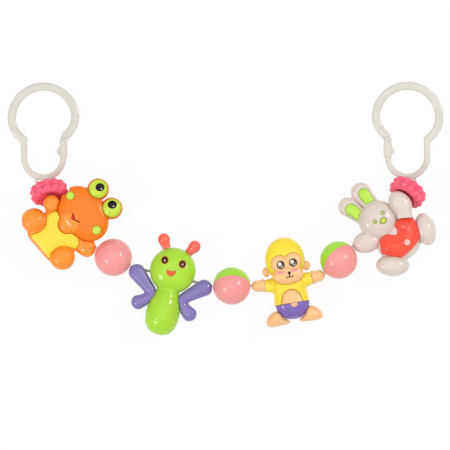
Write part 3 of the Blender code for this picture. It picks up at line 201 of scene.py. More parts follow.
# Solids: each gives a distance for points u, v and z, below zero inside

def swell(rim, low, middle, high, top=None, power=2.6):
    """Puffed form, widest from its middle height up to its top, and closing in to the low and high ends."""
    top = middle if top is None else top

    def field(x, y, z):
        share, away = rim(x, y)
        under, over = np.maximum(middle - z, 0.0), np.maximum(z - top, 0.0)
        up = under / (middle - low) + over / (high - top)
        total = (share ** power + up ** power) ** (1 / power)
        return (total - 1) * np.hypot(away, under + over) / np.maximum(total, TINY)
    return field


def dome(rim, foot, shoulder, crown, power=2.6):
    """Piece with a flat foot, a straight side to the shoulder and a domed top."""
    return between(swell(rim, foot - 1, foot, crown, top=shoulder, power=power), low=foot)


def prism(rim, floor, grow=0.0):
    """Everything above a floor inside the outline."""
    shape = flat(rim)
    return lambda x, y, z: np.maximum(shape(x, y) - grow, floor - z)


def globe(u, v, w, radius):
    return lambda x, y, z: np.sqrt((x - u) ** 2 + (y - v) ** 2 + (z - w) ** 2) - radius


def rod(points, radius):
    """Round bar along 3-D points."""
    path = np.array(points, float)

    def field(x, y, z):
        away = np.full(np.broadcast(x, y, z).shape, 1e9)
        for a, b in zip(path[:-1], path[1:]):
            e, (u, v, w) = b - a, (x - a[0], y - a[1], z - a[2])
            t = np.clip((u * e[0] + v * e[1] + w * e[2]) / (e @ e), 0, 1)
            away = np.minimum(away, np.sqrt((u - t * e[0]) ** 2 + (v - t * e[1]) ** 2 + (w - t * e[2]) ** 2))
        return away - radius
    return field


def join(fields, blend=0.0):
    """Union of solids, with a moulded fillet of about this size between them."""
    def field(x, y, z):
        out = fields[0](x, y, z)
        for other in fields[1:]:
            out = soft_min(out, other(x, y, z), blend)
        return out
    return field


def soft_min(a, b, blend):
    if blend <= 0:
        return np.minimum(a, b)
    h = np.clip(0.5 + 0.5 * (b - a) / blend, 0, 1)
    return b + (a - b) * h - blend * h * (1 - h)


def soft_max(a, b, blend):
    return -soft_min(-a, -b, blend)


def less(solid, *tools, blend=0.0):
    """Solid with the tools cut out of it."""
    def field(x, y, z):
        out = solid(x, y, z)
        for tool in tools:
            out = -soft_min(-out, tool(x, y, z), blend)
        return out
    return field


def between(solid, low=-math.inf, high=math.inf):
    """Solid only between two heights."""
    return lambda x, y, z: np.maximum(solid(x, y, z), np.maximum(low - z, z - high))


def within(solid, shape):
    """Solid only where the flat shape is."""
    return lambda x, y, z: np.maximum(solid(x, y, z), shape(x, y))


def grown(shape, by):
    """Solid or flat shape, larger all round."""
    return lambda *at: shape(*at) - by


def carved(solid, shape, depth, soften):
    """Solid with a soft groove of this depth where the flat shape is."""
    return lambda x, y, z: solid(x, y, z) + depth * np.clip(0.5 - shape(x, y) / soften, 0, 1)


def print_on(solid, shape, lift=0.07):
    """Thin raised print that follows the solid's surface inside the flat shape."""
    def field(x, y, z):
        skin = solid(x, y, z)
        return np.maximum(np.maximum(skin - lift, -skin - PRINT_DEPTH), shape(x, y))
    return field


# Meshing

def net(values):
    """Points in cell units and quads on the zero surface of a sampled field."""
    cells = tuple(n - 1 for n in values.shape)
    total, count = np.zeros(cells + (3,), np.float32), np.zeros(cells, np.float32)
    crossings = []
    for axis in range(3):
        near = np.take(values, range(values.shape[axis] - 1), axis)
        far = np.take(values, range(1, values.shape[axis]), axis)
        crossing = (near < 0) != (far < 0)
        share = np.where(crossing, near / np.where(crossing, near - far, 1), 0)
        crossings.append((crossing, near < 0))
        b, c = [other for other in range(3) if other != axis]
        for first, second in ((0, 0), (0, 1), (1, 0), (1, 1)):
            pick = [slice(None)] * 3
            pick[b], pick[c] = slice(first, first + cells[b]), slice(second, second + cells[c])
            here = crossing[tuple(pick)]
            count += here
            total[..., axis] += share[tuple(pick)] * here
            total[..., b] += first * here
            total[..., c] += second * here
    used = count > 0
    index = np.full(cells, -1)
    index[used] = np.arange(int(used.sum()))
    spots = np.argwhere(used) + total[used] / count[used][:, None]
    quads = []
    for axis, (crossing, inward) in enumerate(crossings):
        trim = tuple(slice(None) if other == axis else slice(1, -1) for other in range(3))
        to_b, to_c = np.roll(np.eye(3, dtype=int), -axis, axis=0)[1:]
        found = np.argwhere(crossing[trim]) + to_b + to_c
        ring = [index[tuple(place.T)] for place in (found - to_b - to_c, found - to_c, found, found - to_b)]
        quad = np.stack(ring, axis=1)
        outward = inward[tuple(found.T)]
        quads.append(np.where(outward[:, None], quad, quad[:, ::-1]))
    return spots, np.concatenate(quads)


def meshed(field, low, high, step):
    """Mesh of the field inside a box, in millimetres, with its points drawn onto the exact surface."""
    axes = [np.arange(a - 1.5 * step, b + 1.5 * step, step) for a, b in zip(low, high)]
    x, y, z = np.meshgrid(*axes, indexing="ij", sparse=True)
    values = np.array(np.broadcast_to(field(x, y, z), tuple(len(a) for a in axes)), np.float32)
    spots, quads = net(values)
    points = spots * step + np.array([a[0] for a in axes])
    for _ in range(2):
        here, nudge = field(*points.T), step * 0.1
        slope = np.stack([(field(*(points + nudge * way).T) - here) / nudge for way in np.eye(3)], axis=1)
        change = -here[:, None] * slope / np.maximum((slope ** 2).sum(1), 0.05)[:, None]
        points += np.clip(change, -0.35 * step, 0.35 * step)
    return points, quads


def placed(points, matrix):
    """Millimetre points in a figure's frame, as metres on the table."""
    grid = np.array(matrix, float)
    return (points @ grid[:3, :3].T + grid[:3, 3]) * MM


def new_mesh(name, points, faces):
    mesh = bpy.data.meshes.new(name)
    mesh.from_pydata(points.tolist(), [], faces.tolist())
    mesh.update()
    mesh.shade_smooth()
    obj = bpy.data.objects.new(name, mesh)
    bpy.context.scene.collection.objects.link(obj)
    return obj


def standing(u, v, height, turn):
    """Frame at a place over the table, turned by degrees as seen from above."""
    return Matrix.Translation((u, v, height)) @ Matrix.Rotation(math.radians(turn), 4, "Z")


def moulded(name, field, box, matrix, look, body, node=None, step=0.6):
    """Mesh a field in a figure's frame and dress it."""
    points, quads = meshed(field, *box, step)
    obj = new_mesh(name, placed(points, matrix), quads)
    obj.data.materials.append(look)
    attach(obj, body)
    if node:
        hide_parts(node)
    return obj


def tools_for(body, matrix):
    """Functions for one figure's pieces: mould one for a CAD node, mould both shells, print on a host. All names
    start with the figure's."""
    def mould(name, field, box, plastic, node, step=0.6):
        return moulded(f"{body}_{name}", field, box, matrix, PLASTIC[plastic], body, f"{body}_{node}", step)

    def halves(shell, whole, box, plastic):
        mould("front", between(shell, low=SEAM + PARTING), box, plastic, "front_shell")
        mould("back", between(whole, low=0.0, high=SEAM - PARTING), box, plastic, "back_shell")

    def stamp(name, host, shape, place, ink, lift=0.07):
        return moulded(f"{body}_{name}", print_on(host, shape, lift), around(*place, *PRINT_HEIGHTS), matrix,
                       INK[ink], body, step=PRINT_STEP)
    return mould, halves, stamp


SIDES = ((-1, "left"), (1, "right"))


def around(u, v, reach, low, high):
    """Box round a place, between two heights."""
    return (u - reach, v - reach, low), (u + reach, v + reach, high)


def beside(side, near, far, low, high):
    """Box at a figure's left or right, between two corners that give v and z."""
    start, end = sorted((side * near, side * far))
    return (start, *low), (end, *high)


# Cord's way through the two end figures, and the discs on its ends

FROG_ROUTE = ((25.74, 0.95, 15.0), (13.3, -1.66, 14.6), (0.86, -4.28, 15.0), (-12.78, -7.34, 18.4),
              (-24.02, -9.5, 21.37), (-28.07, -8.92, 20.23), (-29.72, -7.42, 17.86))
RABBIT_ROUTE = ((-29.52, -0.17, 15.0), (-16.63, -0.78, 14.57), (-3.74, -1.38, 15.0), (10.29, -2.14, 18.69),
                (22.04, -2.58, 21.88), (26.93, -2.08, 20.54), (29.52, -1.26, 17.83))

DISC_RADIUS, DISC_THICKNESS, DISH_RADIUS, DISH_DEPTH, DISH_ROOM, SCOOP = 15.2, 12.0, 10.2, 3.0, 0.8, 2.4
LEFT_DISC_CENTRE, LEFT_DISC_AXIS = (-141.053, 13.023, 16.164), (0.1948, -0.8438, 0.5)
RIGHT_DISC_CENTRE, RIGHT_DISC_AXIS = (145.803, 13.092, 16.238), (-0.5064, -0.7233, 0.4695)
ENDS = (("left", (-140.39, 10.154, 17.864), LEFT_DISC_CENTRE, LEFT_DISC_AXIS, (-144.791, 18.463, 4.2)),
        ("right", (144.081, 10.633, 17.834), RIGHT_DISC_CENTRE, RIGHT_DISC_AXIS, (149.697, 19.088, 4.2)))


# Finishes

def linear(red, green, blue):
    """Colour as seen in the picture, as the renderer counts it."""
    shares = [value / 255 for value in (red, green, blue)]
    return tuple(s / 12.92 if s <= 0.04045 else ((s + 0.055) / 1.055) ** 2.4 for s in shares)


def new_look(name):
    """Material's node tree and shader."""
    look = bpy.data.materials.new(name)
    look.use_nodes = True
    return look, look.node_tree, look.node_tree.nodes["Principled BSDF"]


def feed(tree, node, inputs):
    """Set a node's inputs from values or from other nodes' outputs."""
    for word, value in inputs.items():
        if isinstance(value, bpy.types.NodeSocket):
            tree.links.new(value, node.inputs[word])
        else:
            node.inputs[word].default_value = value


def add_node(tree, kind, inputs, **settings):
    node = tree.nodes.new("ShaderNode" + kind)
    for word, value in settings.items():
        setattr(node, word, value)
    feed(tree, node, inputs)
    return node.outputs


def moulded_plastic(name, colour, roughness=0.22, soft=0.12, bump=0.06, gloss=0.42, patch=None):
    """Glossy toy plastic: faint cloudiness, a fine orange peel and uneven polish. A patch is a paler round spot of
    painted highlight.
    """
    look, tree, shader = new_look(name)
    place = add_node(tree, "TexCoord", {})["Object"]
    cloud = add_node(tree, "TexNoise", {"Vector": place, "Scale": 90, "Detail": 3})["Fac"]
    dark, light = [value * 0.93 for value in colour], [min(value * 1.05, 1) for value in colour]
    shade = add_node(tree, "Mix", {"Factor": cloud, "A": (*dark, 1), "B": (*light, 1)}, data_type="RGBA")["Result"]
    if patch:
        shade = painted_highlight(tree, place, shade, *patch)
    polish = add_node(tree, "MapRange", {"Value": cloud, "To Min": roughness - 0.04, "To Max": roughness + 0.06})
    peel = add_node(tree, "TexNoise", {"Vector": place, "Scale": 900})
    raised = add_node(tree, "Bump", {"Height": peel["Fac"], "Strength": bump, "Distance": 0.0002})
    feed(tree, shader, {"Base Color": shade, "Roughness": polish["Result"], "Specular IOR Level": gloss,
                        "Normal": raised["Normal"], "Subsurface Weight": soft,
                        "Subsurface Radius": (1, 0.8, 0.6), "Subsurface Scale": 0.002})
    return look


def painted_highlight(tree, place, shade, centre, radius, colour):
    """Mix a second, paler colour in round a point, in metres, as a painted highlight."""
    away = add_node(tree, "VectorMath", {0: place, 1: centre}, operation="DISTANCE")["Value"]
    fade = add_node(tree, "MapRange", {"Value": away, "From Min": radius * 1.12, "From Max": radius * 0.86},
                    interpolation_type="SMOOTHSTEP")["Result"]
    return add_node(tree, "Mix", {"Factor": fade, "A": shade, "B": (*colour, 1)}, data_type="RGBA")["Result"]


# Plastics that are glossier or let more light in, as roughness, soft, bump and gloss
SHEEN = {"purple": (0.17, 0.12, 0.06, 0.55), "pink": (0.22, 0.35), "soft_pink": (0.22, 0.3)}
PLASTIC = {name: moulded_plastic(name, linear(*colour), *SHEEN.get(name, ())) for name, colour in {
    "light_orange": (255, 148, 44), "yellow": (255, 218, 60), "lime": (202, 226, 66), "green": (174, 222, 55),
    "purple": (132, 118, 182), "coral": (255, 108, 90), "peach": (255, 197, 138), "grey": (223, 209, 200),
    "leaf": (184, 226, 76), "coral_red": (255, 86, 66), "pink": (255, 100, 128), "soft_pink": (255, 160, 158),
    "ball_green": (168, 226, 52), "off_white": (216, 212, 202), "yellow_suit": (255, 223, 60),
    "deep_purple": (128, 106, 182),
}.items()}
# The frog's head, with a painted highlight that makes it paler round its chin
PLASTIC["orange"] = moulded_plastic("orange", linear(255, 126, 10),
                                    patch=((-0.1259, -0.0125, 0.0255), 0.0086, linear(255, 148, 44)))
INK = {name: moulded_plastic(f"ink_{name}", linear(*colour), roughness=0.5, soft=0.0, bump=0.02, gloss=0.25)
       for name, colour in {
    "black": (30, 16, 12), "brown": (78, 40, 20), "glint": (230, 215, 215), "mouth": (205, 45, 8),
    "mouth_rim": (140, 36, 8), "halo": (214, 170, 70), "smile": (248, 92, 66), "smile_rim": (190, 120, 50),
    "iris": (122, 104, 98), "white": (250, 246, 244), "blush": (247, 158, 160), "peach": (255, 190, 140),
    # The ink for the frog eyes' rim is painted shade, not print
    "eye_ring": (158, 178, 88), "eye_core": (186, 194, 140), "spot": (240, 196, 186), "olive": (178, 172, 50),
    "nose_rim": (160, 178, 62),
}.items()}
CORD = moulded_plastic("braided_cord", linear(150, 148, 146), roughness=0.75, soft=0.0, bump=0.6)


# Measures of the figures' own tables, from shares of their height

def rise(share):
    return SEAM + RISE * share


def drop(share):
    return SEAM * (1 - share)


def scaled(spec, size, edge=8.0):
    """Outline from its kind and its shares of a height."""
    kind, values = spec[0], spec[1:]
    if kind == "oval":
        return oval(*[value * size for value in values[:4]], values[4])
    if kind == "taper":
        return taper(*[value * size for value in values])
    return loop([(u * size, v * size) for u, v in values], edge)


def mirrored(spec):
    """The same outline for the figure's other side."""
    if spec[0] == "oval":
        return ("oval", -spec[1], *spec[2:5], -spec[5])
    if spec[0] == "loop":
        return ("loop", *[(-u, v) for u, v in reversed(spec[1:])])
    return ("taper", -spec[1], *spec[2:4], -spec[4], *spec[5:])


def lobe(spec, size, down, up, edge=8.0, power=2.6):
    """Limb or body form about the seam."""
    return swell(scaled(spec, size, edge), drop(down), SEAM, rise(up), power=power)


def seated(rim, floor, edge, crown, power=2.6):
    """Domed piece that is let into a shell, and the seat cut for it, from shares of the height."""
    return dome(rim, rise(floor) + FIT, rise(edge), rise(crown), power=power), prism(rim, rise(floor), FIT)


def disc_frame(centre, axis):
    return Matrix.Translation(centre) @ Vector(axis).to_track_quat("Z", "Y").to_matrix().to_4x4()


def dish(inset=0.0):
    """Lens-shaped hollow in the disc's near face, or with an inset the room left inside it."""
    radius = (DISH_RADIUS ** 2 + DISH_DEPTH ** 2) / (2 * DISH_DEPTH)
    middle = DISC_THICKNESS / 2 - DISH_DEPTH + radius
    return globe(0, 0, middle, radius - inset)


def scoop(centre, axis, matrix):
    """Room that a figure leaves round its disc, in the figure's frame."""
    half = DISC_THICKNESS / 2 + SCOOP
    grid = np.array((matrix.inverted() @ disc_frame(centre, axis)).inverted(), float)

    def ring(x, y, z):
        x, y, z = [row[0] * x + row[1] * y + row[2] * z + row[3] for row in grid[:3]]
        wide = np.hypot(x, y) - DISC_RADIUS - SCOOP
        return np.maximum(np.maximum(wide, np.abs(z) - half), -dish(DISH_ROOM)(x, y, z))
    return ring


BALL_RADIUS, BALL_ROOM = 15.0, 0.06


def ball_at_limit(u, v, matrix):
    """Room for the next ball where its joint ends, in the figure's frame."""
    return globe(*(matrix.inverted() @ Vector((u, v, SEAM))), BALL_RADIUS + BALL_ROOM)


# Frog

FROG_SIZE, FROG_MATRIX = 76.0, standing(-117.985, -10.73, 0, -57.0)
FROG_HAND_HEIGHT, FROG_HEAD_FLOOR = 21.37, 0.32
FROG_HEAD = (
    (("oval", -0.038, 0.105, 0.313, 0.230, 0), 1.0, 1.0),
    (("oval", -0.040, 0.000, 0.250, 0.135, 6), 0.94, 0.98),
    (("oval", -0.037, -0.100, 0.100, 0.105, 0), 0.80, 0.86),
    (("oval", -0.171, 0.366, 0.115, 0.115, 0), 0.66, 0.82),
    (("oval", 0.075, 0.376, 0.115, 0.115, 0), 0.65, 0.81),
)
FROG_LIMBS = (
    (("loop", (-0.23, -0.14), (-0.27, -0.26), (-0.26, -0.43), (-0.17, -0.520), (0.02, -0.505), (0.19, -0.475),
      (0.245, -0.41), (0.24, -0.24), (0.23, -0.12), (0.06, -0.04), (-0.11, -0.04)), 0.99, 0.50),
    (("oval", -0.264, -0.380, 0.132, 0.132, 0), 0.8, 0.74),
    (("oval", 0.224, -0.341, 0.134, 0.134, 0), 0.79, 0.73),
    (("oval", 0.286, -0.060, 0.100, 0.084, -45), 0.55, 0.60),
    (("taper", 0.19, -0.11, 0.085, 0.268, -0.088, 0.088), 0.5, 0.54),
    (("taper", -0.18, -0.19, 0.08, -0.295, -0.135, 0.072), 0.4, 0.60),
)
FROG_BELLY = ("loop", (-0.195, -0.11), (-0.235, -0.165), (-0.222, -0.236), (-0.152, -0.305), (-0.132, -0.39),
              (-0.146, -0.492), (0.0, -0.481), (0.152, -0.456), (0.122, -0.405), (0.112, -0.335), (0.138, -0.260),
              (0.222, -0.165), (0.16, -0.09), (-0.03, -0.10))
FROG_EYES = {"left": ("oval", -0.173, 0.371, 0.102, 0.102, 0), "right": ("oval", 0.075, 0.382, 0.102, 0.102, 0)}
FROG_CHEEKS = {"left": ("oval", -0.272, 0.086, 0.045, 0.045, 0), "right": ("oval", 0.180, 0.120, 0.048, 0.048, 0)}
FROG_HAND = ("oval", -0.316, -0.125, 0.087, 0.087, 0)
FROG_PUPILS = {"left": (-13.4, 30.1), "right": (3.5, 30.7)}


def make_frog():
    mould, halves, stamp = tools_for("frog", FROG_MATRIX)
    size, box = FROG_SIZE, ((-32, -41, -1), (31, 39, 32))
    high, reach = FROG_HAND_HEIGHT, FROG_HAND[3] * FROG_SIZE
    hand = swell(scaled(FROG_HAND, size), high - reach, high, high + reach)
    floor = rise(FROG_HEAD_FLOOR)
    keels = [between(swell(scaled(spec, size), drop(down), SEAM, floor + 9, top=floor), high=floor)
             for spec, down, _ in FROG_HEAD]
    limbs = [lobe(spec, size, down, up) for spec, down, up in FROG_LIMBS]
    whole = join([join(limbs + [hand], 1.2), join(keels, 1.5)], 0.6)
    room = scoop(LEFT_DISC_CENTRE, LEFT_DISC_AXIS, FROG_MATRIX)
    heads, head_seats = zip(*[seated(scaled(spec, size), FROG_HEAD_FLOOR, 0.46, up) for spec, _, up in FROG_HEAD])
    head_seat = join(head_seats, 0.5)
    belly, belly_seat = seated(scaled(FROG_BELLY, size, 4.5), 0.36, 0.46, 0.70)
    eyes = {word: seated(scaled(spec, size), 0.64, 0.72, 1.04, 2.2) for word, spec in FROG_EYES.items()}
    cheeks = {word: seated(scaled(spec, size), 0.72, 0.86, 1.0) for word, spec in FROG_CHEEKS.items()}
    soles = join_flat([hoop(foot[1] * size, foot[2] * size, radius, 0.5)
                       for foot, _, _ in FROG_LIMBS[1:3] for radius in (3.0, 5.4, 7.8)])
    shell = carved(less(whole, room, head_seat, belly_seat, blend=0.3), soles, 0.3, 0.6)
    halves(shell, less(whole, room, blend=0.5), box, "light_orange")

    jaw = stroke([(-16.2, 3.6), (-11.5, -1.0), (-4.9, -2.0), (3.5, 1.5), (10.1, 6.8)], 1.4)
    face = carved(join(heads, 0.5), jaw, 0.5, 1.6)
    head = less(face, *[seat for _, seat in (*eyes.values(), *cheeks.values())], blend=0.2)
    head = less(head, room, rod(FROG_ROUTE, CORD_BORE), blend=0.3)
    mould("head_shell", head, ((-28, -18, 18), (22, 39, 31)), "orange", "head", step=0.5)
    belly = less(belly, head_seat, blend=0.4)
    mould("belly", belly, ((-20, -38, 18), (19, -5, 26)), "yellow", "belly_plate")
    for word, (eye, _) in eyes.items():
        frog_eye(mould, stamp, word, eye, *[value * size for value in FROG_EYES[word][1:4]])
    for word, (cheek, _) in cheeks.items():
        box = around(*[value * size for value in FROG_CHEEKS[word][1:4]], 22, 30)
        mould(f"cheek_dot_{word}", cheek, box, "lime", f"cheek_{word}", step=0.4)
    mouth = flat(taper(-7.3, 0.6, 0.75, -4.9, -1.0, 2.0))
    line = stroke([(-4.4, -2.0), (-2.2, -0.8), (1.0, 1.3)], 1.3)
    stamp("mouth_rim", face, join_flat([mouth, line]), (-3.5, -0.5, 5.5), "mouth_rim", lift=0.05)
    stamp("mouth", face, grown(mouth, -0.55), (-5.6, -0.5, 4.0), "mouth", lift=0.09)


def frog_eye(mould, stamp, word, eye, u, v, radius):
    """Eye with a ring of painted shade round its edge, its pupil and the glint in it."""
    mould(f"eye_dome_{word}", eye, around(u, v, radius, 20, 31), "lime", f"eye_{word}", step=0.4)
    # The ring round the dome's edge is painted shade, darker where the eye's rim turns away from the light
    stamp(f"eye_rim_{word}", eye, hoop(u, v, radius - 0.15, 1.2), (u, v, radius), "olive", lift=0.04)
    u, v = FROG_PUPILS[word]
    stamp(f"pupil_{word}", eye, dot(u, v, 3.7, 3.3, 60), (u, v, 4.5), "black")
    u, v = u + 1.7, v + 0.2
    stamp(f"glint_{word}", eye, dot(u, v, 0.7, 0.6), (u, v, 1.4), "glint", lift=0.11)


# Bee

BEE_SIZE, BEE_MATRIX = 80.0, standing(-42.1, -49.6, 0, -13.3)
BEE_HEAD = ("oval", 0, 0, 0.230, 0.230, 0)
BEE_BODY = ((-0.150, 0.086), (-0.170, 0.096), (-0.24, 0.124), (-0.33, 0.152), (-0.42, 0.168), (-0.51, 0.166),
            (-0.58, 0.144), (-0.63, 0.102), (-0.652, 0.056), (-0.658, 0.030))
BEE_GROOVES, GROOVE_DEPTH, GROOVE_WIDTH = (-0.273, -0.354, -0.436, -0.517, -0.598), 0.3, 0.45
BEE_WINGS = (("taper", 0.142, -0.268, 0.052, 0.3425, -0.100, 0.085),
             ("taper", 0.138, -0.300, 0.050, 0.260, -0.385, 0.075))
BEE_KNOB = (0.158, 0.284, 0.060)
BEE_STEM = ((0.092, 0.155), (0.110, 0.205), (0.150, 0.262))
BEE_EYES = {"left": (-8.0, 6.7), "right": (6.4, 6.8)}
BEE_SMILE = ((-4.0, -0.7), (-2.2, -1.2), (0.2, -1.0), (2.2, -0.2), (1.7, -2.5), (-0.1, -4.1), (-2.5, -3.9),
             (-3.7, -2.6))


def barrel_outline():
    side = open_curve([(half * BEE_SIZE, place * BEE_SIZE) for place, half in BEE_BODY], 8)
    return np.vstack([side, side[::-1] * (-1, 1)])


BARREL_TABLE = table_of(barrel_outline(), (-3.0, -60.0), (30.0, 0.0))


def barrel(x, y, z):
    """The bee's round body, ribbed by soft grooves."""
    wide = np.sqrt(x ** 2 + (z - SEAM) ** 2)
    grooves = sum(np.exp(-((y - place * BEE_SIZE) / GROOVE_WIDTH) ** 2) for place in BEE_GROOVES)
    return soft_table(BARREL_TABLE, wide, y) + GROOVE_DEPTH * grooves


def make_bee():
    mould, halves, stamp = tools_for("bee", BEE_MATRIX)
    size, box = BEE_SIZE, ((-20, -54, -1), (20, 20, 30))
    head = lobe(BEE_HEAD, size, 1.0, 0.94, power=2.3)
    whole = join([head, barrel], 1.2)
    halves(whole, whole, box, "green")
    ball = ball_at_limit(4.16, -67.32, BEE_MATRIX)
    for side, word in SIDES:
        specs = [spec if side > 0 else mirrored(spec) for spec in BEE_WINGS]
        wing = join([lobe(spec, size, 0.36, 0.36, power=2.2) for spec in specs], 3.0)
        wing = less(wing, grown(barrel, GAP), ball, blend=0.4)
        mould(f"wing_shape_{word}", wing, beside(side, 6, 35, (-38, 8), (1, 21)), "purple", f"wing_{word}", step=0.5)
        u, v, radius = (share * size for share in BEE_KNOB)
        stem = [(side * a * size, b * size, SEAM) for a, b in BEE_STEM]
        antenna = less(join([globe(side * u, v, SEAM, radius), rod(stem, 3.0), rod(stem[:2], 2.2)], 3.0),
                       grown(head, GAP), blend=0.2)
        mould(f"feeler_{word}", antenna, beside(side, 5, 18, (12, 9), (29, 21)), "coral", f"antenna_{word}", step=0.4)
        u, v = BEE_EYES[word]
        stamp(f"eye_halo_{word}", head, dot(u, v, 3.3, 3.6), (u, v, 4.2), "halo", lift=0.04)
        stamp(f"eye_{word}", head, dot(u, v, 2.8, 3.1), (u, v, 3.6), "brown")
        stamp(f"glint_{word}", head, dot(u + 0.1, v - 0.3, 0.7, 0.7), (u, v, 1.4), "glint", lift=0.11)
    smile = flat(loop(BEE_SMILE, 2.0))
    stamp("smile_rim", head, grown(smile, 0.8), (-1, -2, 5), "smile_rim", lift=0.04)
    stamp("smile", head, smile, (-1, -2, 4.5), "smile")


# Monkey

MONKEY_SIZE, MONKEY_MATRIX = 72.0, standing(47.573, -41.768, 0, 9.5)
MONKEY_LOBES = (
    (("oval", 0.002, 0.008, 0.221, 0.252, 0), 1.0, 0.88),
    (("loop", (-0.10, -0.14), (-0.18, -0.24), (-0.187, -0.38), (-0.18, -0.53), (0.0, -0.57),
      (0.18, -0.53), (0.187, -0.38), (0.18, -0.24), (0.10, -0.14)), 1.0, 0.80),
    (("taper", -0.13, -0.250, 0.092, -0.265, -0.243, 0.071), 0.6, 0.52),
    (("taper", 0.13, -0.247, 0.092, 0.265, -0.240, 0.071), 0.6, 0.52),
)
MONKEY_FACE = (
    (("oval", -0.064, -0.022, 0.096, 0.092, 0), 0.74, 1.0),
    (("oval", 0.086, -0.018, 0.096, 0.094, 0), 0.74, 1.0),
    (("oval", 0.011, -0.161, 0.172, 0.103, 0), 0.66, 1.13),
)
MONKEY_BELLY = ("loop", (-0.115, -0.55), (-0.112, -0.44), (-0.075, -0.355), (0.0, -0.322),
                (0.07, -0.345), (0.115, -0.42), (0.122, -0.55))
MONKEY_HAND = ("taper", 0.292, -0.232, 0.081, 0.348, -0.228, 0.065)
MONKEY_FOOT = ("loop", (0.055, -0.688), (0.16, -0.706), (0.285, -0.704), (0.318, -0.668), (0.302, -0.605),
               (0.252, -0.562), (0.19, -0.568), (0.105, -0.625))
MONKEY_ANKLE = ("oval", 0.192, -0.600, 0.064, 0.062, 0)
MONKEY_PANTS = ("oval", 0.004, -0.472, 0.193, 0.186, 0)
MONKEY_EAR = ("oval", 0.226, -0.090, 0.042, 0.056, 0)
MONKEY_WAIST, MONKEY_WRIST = -0.475 * MONKEY_SIZE, 0.262 * MONKEY_SIZE
MONKEY_EYES = {"left": (-4.0, -2.7), "right": (6.1, -2.4)}
MONKEY_CHEEKS = {"left": (-4.3, -8.7), "right": (5.9, -8.4)}


def make_monkey():
    mould, halves, stamp = tools_for("monkey", MONKEY_MATRIX)
    size, box = MONKEY_SIZE, ((-20, -35, -1), (20, 20, 29))
    head, *rest = [lobe(spec, size, down, up) for spec, down, up in MONKEY_LOBES]
    faces, face_seats = zip(*[seated(scaled(spec, size), 0.42, edge, up) for spec, edge, up in MONKEY_FACE])
    face, face_seat = join(faces, 1.2), join(face_seats, 1.0)
    belly, belly_seat = seated(scaled(MONKEY_BELLY, size, 5.0), 0.42, 0.60, 0.86)

    def above_waist(x, y):
        return MONKEY_WAIST + GAP / 2 - y
    trimmed = within(within(join([head, join(rest, 2.0)], 0.8), above_waist),
                     lambda x, y: np.abs(x) - MONKEY_WRIST + GAP / 2)
    halves(less(trimmed, face_seat, belly_seat, blend=0.25), trimmed, box, "yellow_suit")
    mould("face", face, ((-13, -20, 20), (15, 6, 32)), "peach", "face_plate", step=0.5)
    belly = less(within(belly, above_waist), face_seat, blend=0.4)
    mould("belly", belly, ((-10, -36, 20), (10, -21, 29)), "peach", "belly_patch", step=0.5)
    hips = lobe(MONKEY_PANTS, size, 0.86, 0.86)
    pants = within(hips, lambda x, y: y - MONKEY_WAIST + GAP / 2)
    mould("shorts", pants, ((-15, -49, 0), (15, -32, 29)), "deep_purple", "pants", step=0.5)
    for side, word in SIDES:
        monkey_limbs(mould, side, word, head, hips)
        monkey_eye(stamp, side, word, face)
    mouth = [stroke([(-1.1, -13.0), (0.1, -13.4), (1.4, -13.1)], 0.9),
             stroke([(1.4, -13.0), (2.8, -13.4), (4.5, -13.1)], 0.9),
             stroke([(1.7, -10.0), (1.5, -12.8)], 1.0), dot(1.7, -10.1, 1.3, 1.4)]
    stamp("mouth", face, join_flat(mouth), (1.7, -11.6, 4.4), "brown")
    stamp("navel", pants, dot(1.5, MONKEY_WAIST - 0.7, 2.6, 2.6), (1.5, MONKEY_WAIST - 1.2, 3.4), "peach")


def monkey_limbs(mould, side, word, head, hips):
    """Hand, foot and ear of one side."""
    def half(spec, down, up, power=2.6):
        return lobe(spec if side > 0 else mirrored(spec), MONKEY_SIZE, down, up, power=power)
    hand = within(less(half(MONKEY_HAND, 0.5, 0.5, 2.2), ball_at_limit(88.17, -39.22, MONKEY_MATRIX), blend=0.4),
                  lambda x, y: MONKEY_WRIST + GAP / 2 - side * x)
    mould(f"palm_{word}", hand, beside(side, 17, 31, (-23, 6), (-10, 24)), "peach", f"hand_{word}", step=0.5)
    foot = less(join([half(spec, 0.62, 0.62, 2.2) for spec in (MONKEY_FOOT, MONKEY_ANKLE)], 2.5),
                grown(hips, GAP), blend=0.2)
    mould(f"sole_{word}", foot, beside(side, 1, 24, (-52, 4), (-38, 25)), "peach", f"foot_{word}", step=0.5)
    ear = less(half(MONKEY_EAR, 0.25, 0.28), grown(head, GAP), blend=0.2)
    mould(f"ear_shape_{word}", ear, beside(side, 13, 20, (-10, 10), (-2, 20)), "peach", f"ear_{word}", step=0.4)


def monkey_eye(stamp, side, word, face):
    """Eye with its paler lower half, a large and a small glint, and the blush under it."""
    u, v = MONKEY_EYES[word]
    stamp(f"eye_{word}", face, dot(u, v, 3.3, 3.4), (u, v, 4.2), "brown")
    stamp(f"iris_{word}", face, dot(u + 0.1, v - 0.9, 2.2, 1.8), (u, v - 1, 3), "iris", lift=0.10)
    for name, a, b, ru, rv, reach in (("glint", u - 0.7, v + 0.7, 1.5, 1.6, 2.4),
                                      ("spark", u + 0.9, v - 1.9, 0.6, 0.6, 1.2)):
        stamp(f"{name}_{word}", face, dot(a, b, ru, rv), (a, b, reach), "white", lift=0.14)
    u, v = MONKEY_CHEEKS[word]
    stamp(f"blush_{word}", face, dot(u, v, 2.8, 1.4, 5 * side), (u, v, 3.4), "blush", lift=0.04)


# Rabbit

